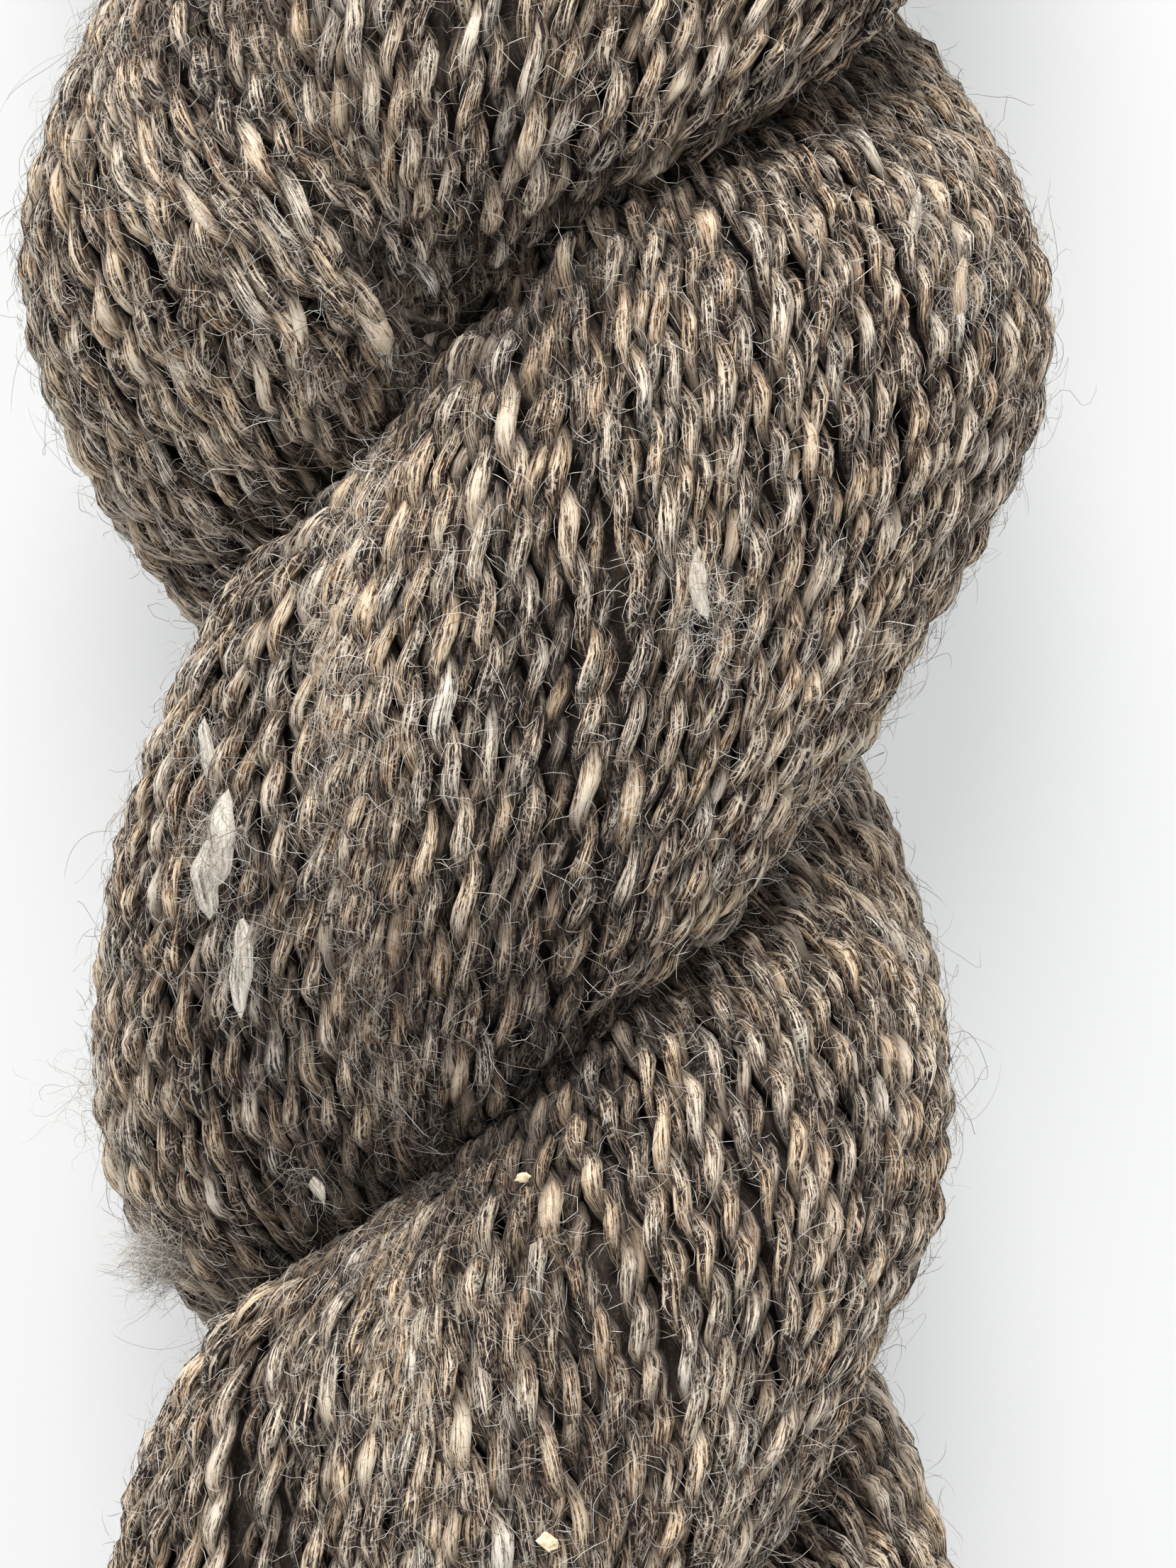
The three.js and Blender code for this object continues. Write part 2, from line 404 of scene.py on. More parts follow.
@dataclass
class HankForm:
    """The wound form of the hank, with directions in degrees from straight up to +X."""

    flattening: float = 0.8
    pressed: float = 2.8
    axis_x: float = -0.72
    fold_tip: float = 140.0
    fold_dome: float = 30.0
    body_end: float = -118.0
    valley_depth: float = 6.5
    valley_half_width: float = 5.4
    valley_fade: float = 9.0
    valley_foot: float = 2.0
    valley_foot_fade: float = 3.0
    valley_margin: float = 30.0
    bundle_width: float = 22.0
    bundle_top: float = 76.0
    bundle_end: float = 15.0
    bundle_left: float = -97.0
    bundle_right: float = 20.0
    grid_step: float = 0.25
    rounding_steps: int = 12
    rounding: float = 2.2
    seam_start: float = 7.5
    seam_dark: float = 0.2
    seam_darkest: float = 1.1
    wound_start: float = 18.0
    wound_run: float = 10.0
    grid: Array = field(init=False)
    tables: dict[Column, Array] = field(default_factory=dict)

    def __post_init__(self) -> None:
        """Samples the sections and rounds off their corners."""
        self.grid = np.arange(self.body_end, self.fold_tip + self.grid_step, self.grid_step)
        rows = SECTIONS[::-1]
        places = [row.y for row in rows]
        spread = np.arange(-self.rounding_steps, self.rounding_steps + 1) * self.grid_step
        weights = np.exp(-((spread / self.rounding) ** 2))
        for column in (Column.LEFT, Column.RIGHT, Column.FLOOR, Column.FIRST, Column.SECOND):
            values = np.interp(self.grid, places, [getattr(row, column.value) for row in rows])
            self.tables[column] = averaged(values, weights)
        self.tables[Column.AGAIN] = self.tables[Column.FIRST] + 360

    @property
    def dome_start(self) -> float:
        """Where the fold's dome begins."""
        return self.fold_tip - self.fold_dome

    def column(self, column: Column, y: Array | float) -> Array:
        """A measure of the sections at y."""
        return np.interp(y, self.grid, self.tables[column])

    def reach(self, y: Array, azimuth: Array) -> Array:
        """How far the strands' crests reach from the axis.

        Args:
            y: Places along the hank.
            azimuth: Directions from the axis.

        Returns:
            The distance at each place.
        """
        side = (1 + np.sin(np.radians(azimuth))) / 2
        left, right = self.column(Column.LEFT, y), self.column(Column.RIGHT, y)
        return left + (right - left) * side

    def axis_height(self, y: Array) -> Array:
        """Height of the axis above the floor."""
        mean = (self.column(Column.LEFT, y) + self.column(Column.RIGHT, y)) / 2
        return self.flattening * mean - self.pressed

    def across(self, y: Array, azimuth: Array) -> Array:
        """Place over a strand's back.

        Args:
            y: Places along the hank.
            azimuth: Directions from the axis.

        Returns:
            From 0 at one groove to 1 at the other, for each place.
        """
        first = self.column(Column.FIRST, y)
        width = self.column(Column.SECOND, y) - first
        turned = np.mod(azimuth - first, 360)
        return np.where(turned <= width, turned / width, (turned - width) / (360 - width))

    def shrink(self, y: Array) -> Array:
        """How far the fold's dome has drawn a section in."""
        past = np.clip((y - self.dome_start) / self.fold_dome, 0, 1)
        return np.sqrt(1 - past**2)

    def valley_azimuth(self, y: Array) -> Array:
        """Direction of the valley's middle at y."""
        path = VALLEY_PATH[::-1]
        return np.interp(y, [p.y for p in path], [p.azimuth for p in path])

    def valley_dip(self, y: Array, azimuth: Array, under_bundle: bool = False) -> Array:
        """Depth of the valley beside the slipped bundle.

        Args:
            y: Places along the hank.
            azimuth: Directions from the axis.
            under_bundle: Whether the dip runs on under the bundle.

        Returns:
            The depth at each place.
        """
        distance = np.radians(half_turn(azimuth - self.valley_azimuth(y))) * self.reach(y, azimuth)
        if under_bundle:
            near = (distance > -self.bundle_width) & (distance < 0)
            distance = np.where(near, 0, distance)
        top = np.clip((VALLEY_PATH[0].y - y) / self.valley_fade, 0, 1)
        bottom = np.clip((y - VALLEY_PATH[-1].y + self.valley_foot) / self.valley_foot_fade, 0, 1)
        return self.valley_depth * top * bottom * np.exp(-((distance / self.valley_half_width) ** 2))

    def on_bundle(self, y: Array, azimuth: Array) -> Array:
        """Whether points lie on the slipped bundle's side of the valley.

        Args:
            y: Places along the hank.
            azimuth: Directions from the axis.

        Returns:
            True or False for each place.
        """
        turned = half_turn(azimuth)
        beside = (turned > self.bundle_left) & (turned < self.bundle_right)
        along = (y < self.bundle_top) & (y > self.bundle_end)
        return beside & along & (turned < self.valley_azimuth(y) - self.valley_margin)

    def radius(self, y: Array, azimuth: Array) -> Array:
        """Distance of the surface from the axis.

        Args:
            y: Places along the hank.
            azimuth: Directions from the axis.

        Returns:
            The distance at each place.
        """
        w = np.clip(self.across(y, azimuth), 0, 1)
        back = 2 * np.sqrt(w * (1 - w))
        floor = self.column(Column.FLOOR, y)
        full = floor + (self.reach(y, azimuth) - floor) * back
        return self.shrink(y) * full - self.valley_dip(y, azimuth)

    def polar(self, points: Array) -> tuple[Array, Array]:
        """Where points lie from the axis.

        Args:
            points: The points, one row each.

        Returns:
            Their directions and distances.
        """
        x, y, z = points.T
        dx, dz = x - self.axis_x, (z - self.axis_height(y)) / self.flattening
        return np.degrees(np.arctan2(dx, dz)), np.hypot(dx, dz)

    def seam_shade(self, points: Array) -> Array:
        """How much light is kept from points down in the seams.

        Args:
            points: Points of a line, one row each.

        Returns:
            The shade at each, as millimetres of depth.
        """
        y = points[:, 1]
        azimuth, distance = self.polar(points)
        depth = self.shrink(y) * self.reach(y, azimuth) - distance - self.seam_start
        wound = np.clip((y - self.body_end - self.wound_start) / self.wound_run, 0, 1)
        return np.clip(depth * self.seam_dark, 0, self.seam_darkest) * wound

    def dimmed(self, points: Array) -> Array:
        """How much painted shade the dim patches add at points; a negative amount is painted light.

        Args:
            points: Points of a line, one row each.

        Returns:
            The painted shade to add at each, as millimetres of depth.
        """
        total = np.zeros(len(points))
        for patch in DIMS:
            across = (points[:, 0] - patch.x) / patch.across
            along = (points[:, 1] - patch.y) / patch.along
            total += patch.painted_shade * np.exp(-(across**2) - along**2)
        return total

    def placed(self, y: Array, azimuth: Array, radius: Array) -> Array:
        """Points at distances from the axis.

        Args:
            y: Places along the hank.
            azimuth: Directions from the axis.
            radius: Distances from it.

        Returns:
            A row for each point.
        """
        turn = np.radians(azimuth)
        x = self.axis_x + radius * np.sin(turn)
        z = self.axis_height(y) + self.flattening * radius * np.cos(turn)
        return np.stack([x, np.broadcast_to(y, x.shape), z], axis=-1)

    def outward(self, azimuth: Array) -> Array:
        """Unit vectors away from the axis."""
        turn = np.radians(azimuth)
        return unit(np.stack([np.sin(turn), np.zeros_like(turn), np.cos(turn) / self.flattening], axis=-1))


@dataclass(frozen=True)
class PhotoView:
    """The camera over the hank, and the frame of 1659 by 2212 pixels that it takes."""

    pixel: float = 0.0535
    width: float = 1659
    height: float = 2212
    centre_x: float = 3.8
    centre_y: float = 10.0
    sharp_height: float = 28.0
    distance: float = 320.0
    sensor: float = 36.0
    highest: float = 60.0
    ray_steps: int = 1200

    def ray(self, px: float, py: float, z: Array | float) -> Array:
        """Points on the line of sight through a pixel.

        Args:
            px: Pixel across, from the left.
            py: Pixel down, from the top.
            z: Heights of the points.

        Returns:
            A row for each point.
        """
        scale = (self.distance + self.sharp_height - z) / self.distance * self.pixel
        x = self.centre_x + (px - self.width / 2) * scale
        y = self.centre_y + (self.height / 2 - py) * scale
        return np.stack(np.broadcast_arrays(x, y, z), axis=-1)

    def surface(self, form: HankForm, px: float, py: float) -> tuple[Array, Array]:
        """The surface point that a pixel shows.

        Args:
            form: The hank's form.
            px: Pixel across, from the left.
            py: Pixel down, from the top.

        Returns:
            The point, and the direction away from the hank's axis there.
        """
        line = self.ray(px, py, np.linspace(self.highest, 0, self.ray_steps))
        azimuth, distance = form.polar(line)
        inside = np.flatnonzero(distance <= form.radius(line[:, 1], azimuth))
        hit = inside[0] if len(inside) else int(np.argmin(distance))
        return line[hit], form.outward(azimuth[hit])


@dataclass
class YarnPath:
    """The middle line of one yarn, with the direction in which it faces outwards."""

    points: Array
    facing: Array
    detail: Detail
    region: Region
    swell: float = 1.0
    # Painted shade along the yarn, as millimetres of depth.
    shaded: float | Array = 0.0


@dataclass
class Winder:
    """What every part of the hank is wound with: the form, the picture and the lines so far."""

    form: HankForm
    view: PhotoView
    rng: np.random.Generator
    pitch: float = 1.5
    sunk: float = 1.0
    layer: float = 1.05
    shortest: float = 5.0
    covered: float = 0.5
    margin: float = 6.0
    turned_away: float = -0.15
    facing_floor: float = -0.5
    floor_gap: float = 1.15
    paths: list[YarnPath] = field(default_factory=list)

    def detail(self, middle: Array, up: float, under: bool) -> Detail:
        """How finely a yarn is spun where it lies.

        Args:
            middle: Its middle point.
            up: How far it faces up there, from -1 to 1.
            under: Whether it lies under its neighbours.

        Returns:
            Its detail.
        """
        span = self.view.height / 2 * self.view.pixel + self.margin
        if abs(middle[1] - self.view.centre_y) < span and up > self.turned_away:
            return Detail.SHADED if under else Detail.CLOSE
        return Detail.UNDER if under or up < self.facing_floor else Detail.SIDE

    def add(
        self,
        points: Array,
        facing: Array,
        region: Region,
        lowered: float | Array = 0.0,
        swell: float = 1.0,
        seam: float = 1.0,
    ) -> None:
        """Keeps one line, resampled for where it lies, if it is long enough to see.

        Args:
            points: The line's points.
            facing: Outward directions at the points.
            region: The piece that it belongs to.
            lowered: How far the yarn lies under its neighbours.
            swell: Thickness beside the usual.
            seam: How far the seams' shade reaches it, from 0 to 1.
        """
        if step_lengths(points).sum() < self.shortest:
            return
        lowered = np.broadcast_to(np.asarray(lowered, float), len(points))
        middle = len(points) // 2
        detail = self.detail(points[middle], facing[middle][2], lowered.max() > self.covered)
        even, place = resampled(points, detail.step)
        index = np.arange(len(facing))
        # Painted shade: more where the yarn lies under its neighbours, down in the seams and in the dim
        # patches.
        shaded = np.interp(place, index, lowered) + seam * self.form.seam_shade(even)
        shaded = shaded + self.form.dimmed(even)
        faced = rows_between(place, index, facing)
        self.paths.append(YarnPath(even, faced, detail, region, swell, shaded))

    def count_round(self, radius: float) -> int:
        """How many yarns lie side by side round half a turn."""
        return int(math.pi * radius / self.pitch)

    def wind(self) -> list[YarnPath]:
        """Lays the yarns of every part, and keeps them above the floor.

        Returns:
            The yarns' middle lines.
        """
        for part in (StrandYarns, BundleYarns, LooseYarns, FoldYarns, WrapYarns, TailYarns):
            part(self).wind()
        for path in self.paths:
            path.points[:, 2] = np.maximum(path.points[:, 2], self.floor_gap)
        return self.paths


@dataclass
class StrandYarns:
    """Yarns over the backs of both strands, from groove to groove."""

    winder: Winder
    pitch: float = 1.36
    plain_pitch: float = 1.6
    uneven: tuple[float, float] = (0.78, 1.22)
    sunk_share: tuple[float, float] = (0.5, 1.2)
    crest: float = 36.0
    groove_start: float = 0.2
    samples: int = 160
    fewest: int = 8
    pictured_side: float = -0.35
    pictured: tuple[float, float] = (-62.0, 82.0)
    lean_radius: float = 34.0
    lean_gain: float = 0.89
    lean_ease: float = 1.2

    def sway(self, y: Array, azimuth: float) -> Array:
        """How far a yarn has leant away from its first direction.

        Args:
            y: Places along the hank.
            azimuth: The yarn's first direction from the axis.

        Returns:
            Degrees at each place.
        """
        total = np.zeros_like(y)
        for patch in LEANS:
            turned = half_turn(azimuth - patch.azimuth)
            share = math.exp(-((turned / patch.across) ** 2))
            slope = math.degrees(math.tan(math.radians(patch.lean)) / self.lean_radius)
            slope /= math.cos(math.radians(patch.azimuth))
            eased = np.tanh(self.lean_ease * (y - patch.y) / patch.along)
            total = total + slope * patch.along * self.lean_gain * share * eased
        return total

    def line(self, low: Column, high: Column, azimuth: float) -> tuple[Array, Array] | None:
        """The line at one direction over a strand's back, from the upper groove to the lower.

        Args:
            low: The groove at the strand's lower azimuth.
            high: The groove at its higher azimuth.
            azimuth: Direction from the axis, unwound.

        Returns:
            How far along each point is, and its place over the back as an angle, or None.
        """
        form = self.winder.form
        first, last = form.tables[low], form.tables[high]
        w = (azimuth + self.sway(form.grid, azimuth) - first) / (last - first)
        inside = np.flatnonzero((w > 0) & (w < 1))
        if len(inside) < self.fewest:
            return None
        theta = np.arccos(np.clip(1 - 2 * w[inside], -1, 1))
        order = np.argsort(theta)
        wanted = np.linspace(theta.min(), theta.max(), self.samples)
        wanted = wanted[(wanted > self.groove_start) & (wanted < math.pi - self.groove_start)]
        if len(wanted) < self.fewest:
            return None
        return np.interp(wanted, theta[order], form.grid[inside][order]), wanted

    def lay(self, y: Array, theta: Array, azimuth: float, low: Column, under: bool) -> None:
        """Lays one yarn, kept off the fold's dome and the slipped bundle.

        Args:
            y: How far along each of its points is.
            theta: Their places over the strand's back, as angles.
            azimuth: The yarn's first direction from the axis.
            low: The groove at the strand's lower azimuth.
            under: Whether it lies under its neighbours.
        """
        winder, form = self.winder, self.winder.form
        turned = azimuth + self.sway(y, azimuth)
        keep = y < form.dome_start
        if low is Column.SECOND:
            keep &= ~form.on_bundle(y, turned - 360)
        y, theta, turned = y[keep], theta[keep], turned[keep]
        if len(y) < self.fewest:
            return
        floor = form.column(Column.FLOOR, y)
        full = floor + (form.reach(y, turned) - floor) * np.sin(theta)
        lowered = winder.layer * under * winder.rng.uniform(*self.sunk_share) * np.sin(theta)
        radius = full - form.valley_dip(y, turned, under_bundle=True) - winder.sunk - lowered
        points = form.placed(y, turned, radius)
        winder.add(points, form.outward(turned), Region.at(float(y.mean())), lowered)

    def wind(self) -> None:
        """Lays the yarns, every second one under its neighbours where the picture shows them."""
        rng, tables = self.winder.rng, self.winder.form.tables
        step = math.degrees(self.pitch / self.crest)
        under = False
        for low, high in ((Column.FIRST, Column.SECOND), (Column.SECOND, Column.AGAIN)):
            azimuth = tables[low][0] + rng.uniform(0, step)
            while azimuth < tables[high][-1]:
                line = self.line(low, high, azimuth)
                if line is None:
                    azimuth += step
                    continue
                faced = math.cos(math.radians(azimuth)) > self.pictured_side
                pictured = faced and self.pictured[0] < line[0].mean() < self.pictured[1]
                under, place = pictured and not under, azimuth
                azimuth += (step if pictured else step * self.plain_pitch) * rng.uniform(*self.uneven)
                self.lay(*line, place, low, under)


@dataclass
class BundleYarns:
    """Yarns of the bundle that has slipped, fanning from upright to along the valley."""

    winder: Winder
    count: int = 26
    step: float = 0.1
    middle: float = 45.0
    uneven: tuple[float, float] = (0.2, 0.8)
    shorter: tuple[float, float] = (-7, 1)
    spread_power: float = 0.92
    edge_power: float = 1.5
    inset: float = 3.0
    fewest: int = 60
    filled: float = 0.8
    lift: float = 0.7

    def wind(self) -> None:
        """Lays the yarns, every second one shorter and every third one lower."""
        winder, form, rng = self.winder, self.winder.form, self.winder.rng
        y = np.arange(form.bundle_top, form.bundle_end, -self.step)
        places, directions = zip(*BUNDLE_EDGE)
        edge = np.interp(y, places, directions)
        middle = np.interp(self.middle, places, directions)
        lower = form.column(Column.SECOND, y) - 360 + self.inset
        upper = form.column(Column.FIRST, y) - self.inset
        for i in range(self.count):
            share = (i + rng.uniform(*self.uneven)) / self.count
            spread = share**self.spread_power * (middle - form.bundle_left)
            azimuth = form.bundle_left + spread + share**self.edge_power * (edge - middle)
            inside = (azimuth > lower) & (azimuth < upper)
            if i % 2:
                inside &= y < form.bundle_top + rng.uniform(*self.shorter)
            if inside.sum() < self.fewest:
                continue
            turned, ys = azimuth[inside], y[inside]
            radius = form.radius(ys, turned) + form.valley_dip(ys, turned) * self.filled
            lowered = winder.layer * (i % 3 == 1)
            points = form.placed(ys, turned, radius - winder.sunk + self.lift * share - lowered)
            winder.add(points, form.outward(turned), Region.UPPER, lowered)


@dataclass
class LooseYarns:
    """Single yarns that lie over the slipped bundle, by where the picture shows them."""

    winder: Winder
    samples: int = 160
    route_window: int = 31
    height_window: int = 61
    lift: float = 1.0
    tuck: float = 5.0
    tuck_power: float = 0.35
    swell: float = 1.1
    seam: float = 0.1

    def smoothed(self, values: Array, window: int) -> Array:
        """Values averaged over a sliding window."""
        return averaged(values, np.hanning(window + 2)[1:-1])

    def wind(self) -> None:
        """Lays the yarns, tucked in at both ends."""
        winder, form, view = self.winder, self.winder.form, self.winder.view
        for route in ROUTES:
            t = np.linspace(0, len(route.across) - 1, self.samples)
            across, down = (
                self.smoothed(np.interp(t, range(len(column)), column), self.route_window)
                for column in route
            )
            height = np.array([view.surface(form, *pixel)[0][2] for pixel in zip(across, down)])
            tucked = self.tuck * (1 - np.sin(t / t[-1] * math.pi) ** self.tuck_power)
            height = self.smoothed(height, self.height_window) + self.lift - tucked
            points = np.array([view.ray(*place) for place in zip(across, down, height)])
            azimuth = np.degrees(np.arctan2(points[:, 0] - form.axis_x, points[:, 2]))
            winder.add(points, form.outward(azimuth), Region.UPPER, swell=self.swell, seam=self.seam)


@dataclass
class FoldYarns:
    """Yarns that come up one strand, go over the fold and down the other."""

    winder: Winder
    radius: float = 34.0
    samples: int = 150
    uneven: tuple[float, float] = (0.3, 0.7)
    narrowest: float = 0.02
    least_sunk: float = 0.4

    def wind(self) -> None:
        """Lays the yarns side by side over the dome."""
        winder, form, rng = self.winder, self.winder.form, self.winder.rng
        dome = form.dome_start
        first = float(form.column(Column.FIRST, dome))
        second = float(form.column(Column.SECOND, dome))
        middle, half = (first + second) / 2, (second - first) / 2
        count = winder.count_round(self.radius)
        for i in range(count):
            start = math.radians(-half + (i + rng.uniform(*self.uneven)) * 2 * half / count)
            chord = np.linspace(1, -1, self.samples) * math.cos(start)
            drawn = np.clip(np.hypot(chord, math.sin(start)), self.narrowest, 1)
            rise = np.sqrt(1 - drawn**2)
            y = dome + form.fold_dome * rise
            azimuth = middle + np.degrees(np.arctan2(math.sin(start), chord))
            radius = form.radius(y, azimuth) - winder.sunk * np.clip(drawn * 2, self.least_sunk, 1)
            over = form.placed(y, azimuth, radius)
            over[:, 1] -= winder.sunk * (1 - drawn)
            up = form.outward(azimuth) * drawn[:, None]
            up[:, 1] = rise
            winder.add(over, unit(up), Region.FOLD)


@dataclass
class WrapYarns:
    """Yarns round the wrapped end, which is a leaning ring of yarn."""

    winder: Winder
    y: float = -107.0
    z: float = 22.2
    major: float = 18.0
    tube: float = 11.0
    up_scale: float = 0.862
    along_scale: float = 1.18
    tilt: float = 17.0
    turns: tuple[float, float] = (-88, 268)
    sides: tuple[float, float] = (-126, 127)
    samples: int = 220
    spacing: float = 1.08
    uneven: float = 1.5
    twist: float = 16.0

    def leaning(self, x: Array, side: Array, up: Array) -> Array:
        """Rows of x, along and up, turned by the ring's lean."""
        cos, sin = math.cos(math.radians(self.tilt)), math.sin(math.radians(self.tilt))
        return np.stack([x * cos - side * sin, x * sin + side * cos, up], axis=1)

    def wind(self) -> None:
        """Lays the yarns side by side round the ring."""
        winder, tube = self.winder, self.tube - self.winder.sunk
        u = np.radians(np.linspace(*self.turns, self.samples))
        step = math.degrees(winder.pitch / (self.tube * self.spacing))
        for start in np.arange(*self.sides, step):
            uneven = winder.rng.uniform(-self.uneven, self.uneven)
            v = np.radians(start + uneven + self.twist * (u / math.pi - 0.5))
            out = self.major + tube * np.cos(v)
            side = tube * self.along_scale * np.sin(v)
            height = self.z + out * np.sin(u) * self.up_scale
            points = self.leaning(out * np.cos(u), side, height) + [0, self.y, 0]
            facing = self.leaning(np.cos(v) * np.cos(u), np.sin(v), np.cos(v) * np.sin(u))
            winder.add(points, facing, Region.TAIL)


@dataclass
class TailYarns:
    """Yarns of the tail loop, out along one leg, round the tip and back along the other."""

    winder: Winder
    half_width: float = 20.0
    height: float = 33.0
    groove: float = 15.0
    centre_z: float = 15.1
    tip: float = -140.0
    dome: float = 20.0
    root: float = -103.0
    radius: float = 17.0
    reach: float = 88.0
    samples: int = 120
    leg_samples: int = 19
    narrowest: float = 0.02

    def wind(self) -> None:
        """Lays the yarns side by side."""
        winder = self.winder
        count = winder.count_round(self.radius)
        legs = np.arange(self.leg_samples)[:, None] / self.leg_samples
        flat = self.height / (2 * self.half_width)
        for i in range(count):
            start = math.radians(-self.reach + (i + 0.5) * 2 * self.reach / count)
            chord = np.linspace(1, -1, self.samples) * math.cos(start)
            drawn = np.clip(np.hypot(chord, math.sin(start)), self.narrowest, 1)
            rise = np.sqrt(1 - drawn**2)
            angle = np.arctan2(math.sin(start), chord)
            inner = self.groove + (self.half_width - self.groove) * (1 - drawn)
            radius = drawn * (inner + (self.half_width - inner) * np.abs(np.cos(angle))) - winder.sunk
            y = self.tip + self.dome - (self.dome - winder.sunk) * rise
            x, z = radius * np.cos(angle), self.centre_z + radius * np.sin(angle) * flat
            over = np.stack([x, y, z], axis=1)
            face = np.stack([drawn * np.cos(angle), -rise, drawn * np.sin(angle)], axis=1)
            first = over[0] + (1 - legs) * [0, self.root - over[0][1], 0]
            last = over[-1] + legs * [0, self.root - over[-1][1], 0]
            ends = [np.repeat(face[[end]], self.leg_samples, 0) for end in (0, -1)]
            points = np.concatenate([first, over, last])
            winder.add(points, np.concatenate([ends[0], face, ends[1]]), Region.TAIL)


@dataclass
class TubeBatch:
    """Closed tubes that become one mesh, each with its own strip of the texture map."""

    cap: float = 0.02
    margin: float = 0.04
    spare: float = 1.04
    points: list[Array] = field(default_factory=list)
    sides: list[int] = field(default_factory=list)
    rings: list[int] = field(default_factory=list)
    lengths: list[float] = field(default_factory=list)
    girths: list[float] = field(default_factory=list)
    values: dict[str, list[Array]] = field(default_factory=dict)

    def add(self, rings: Array, ends: Array, girth: float, values: dict[str, Array]) -> None:
        """Keeps one tube.

        Args:
            rings: Ring points, as rings by sides by 3.
            ends: The two points that close it.
            girth: Its distance round, for the map.
            values: Attribute rows for each ring point and then for each end.
        """
        count, sides = rings.shape[:2]
        self.points.append(np.concatenate([rings.reshape(-1, 3), ends]))
        self.sides.append(sides)
        self.rings.append(count)
        self.lengths.append(float(step_lengths(rings.mean(1)).sum()))
        self.girths.append(girth)
        for name, rows in values.items():
            self.values.setdefault(name, []).append(rows)

    def strips(self) -> Array:
        """Packs the tubes' strips on the map in rows.

        Returns:
            Left, bottom, width and height of each tube's strip.
        """
        lengths, girths = np.array(self.lengths), np.array(self.girths)
        side = math.sqrt(float((lengths * girths).sum()) * self.spare)
        boxes = np.zeros((len(lengths), 4))
        x = y = tallest = 0.0
        for i in np.argsort(-lengths):
            if x + girths[i] > side and x > 0:
                x, y, tallest = 0.0, y + tallest, 0.0
            boxes[i] = (x, y, girths[i], lengths[i])
            x, tallest = x + girths[i], max(tallest, lengths[i])
        return boxes / max(side, y + tallest)

    def faces(self, offset: int, count: int, sides: int) -> tuple[Array, Array, Array]:
        """Quads, closing triangles and where their corners lie on the strip.

        Args:
            offset: Index of the tube's first point.
            count: Its rings.
            sides: Its sides.

        Returns:
            Quads, triangles, and corner places for the quads and then the triangles.
        """
        i, j = np.meshgrid(np.arange(count - 1), np.arange(sides), indexing="ij")
        i, j = i.ravel()[:, None], j.ravel()[:, None]
        right, up = np.array([0, 1, 1, 0]), np.array([0, 0, 1, 1])
        quads = offset + (i + up) * sides + (j + right) % sides
        rise = self.cap + (1 - 2 * self.cap) * (i + up) / (count - 1)
        quad_places = np.stack([(j + right) / sides, rise], axis=-1)
        k = np.arange(sides)
        after = (k + 1) % sides
        top, last = offset + (count - 1) * sides, offset + count * sides
        caps = np.concatenate(
            [
                np.stack([np.full(sides, last), offset + after, offset + k], axis=1),
                np.stack([np.full(sides, last + 1), top + k, top + after], axis=1),
            ]
        )
        middle, here, there = (k + 0.5) / sides, k / sides, (k + 1) / sides
        low, high = np.full(sides, self.cap), np.full(sides, 1 - self.cap)
        start = np.stack([middle, np.zeros(sides), there, low, here, low], axis=1)
        end = np.stack([middle, np.ones(sides), here, high, there, high], axis=1)
        corners = (quad_places.reshape(-1, 2), start.reshape(-1, 2), end.reshape(-1, 2))
        return quads, caps, np.concatenate(corners)

    def build(self, name: str, material: bpy.types.Material) -> bpy.types.Object:
        """One smooth mesh object of all the tubes.

        Args:
            name: The piece's name.
            material: Its finish.

        Returns:
            The new object, in metres, at the origin.
        """
        boxes = self.strips()
        polygons: list[list[int]] = []
        places: list[Array] = []
        offset = 0
        for box, count, sides in zip(boxes, self.rings, self.sides):
            quads, caps, corner = self.faces(offset, count, sides)
            polygons += quads.tolist() + caps.tolist()
            places.append(box[:2] + (self.margin + (1 - 2 * self.margin) * corner) * box[2:])
            offset += count * sides + 2
        mesh = bpy.data.meshes.new(name)
        mesh.from_pydata(np.concatenate(self.points) * METRES, [], polygons)
        mesh.polygons.foreach_set("use_smooth", np.ones(len(polygons), bool))
        for key, rows in self.values.items():
            attribute = mesh.attributes.new(key, "FLOAT_VECTOR", "POINT")
            attribute.data.foreach_set("vector", np.concatenate(rows).astype(np.float32).ravel())
        layer = mesh.uv_layers.new(name="OFBake", do_init=False)
        layer.uv.foreach_set("vector", np.concatenate(places).astype(np.float32).ravel())
        mesh.update()
        return new_piece(name, mesh, material)


def fibre_places(s: Array, around: Array) -> Array:
    """Where a ply's streaks are read: how far along, and round it as a cosine and a sine."""
    return np.stack([np.broadcast_to(s, around.shape), np.cos(around), np.sin(around)], axis=-1)


def with_ends(rows: Array) -> Array:
    """Ring values as rows, and then a row for each closing point."""
    return np.concatenate([rows.reshape(-1, 3), rows[[0, -1], 0]])


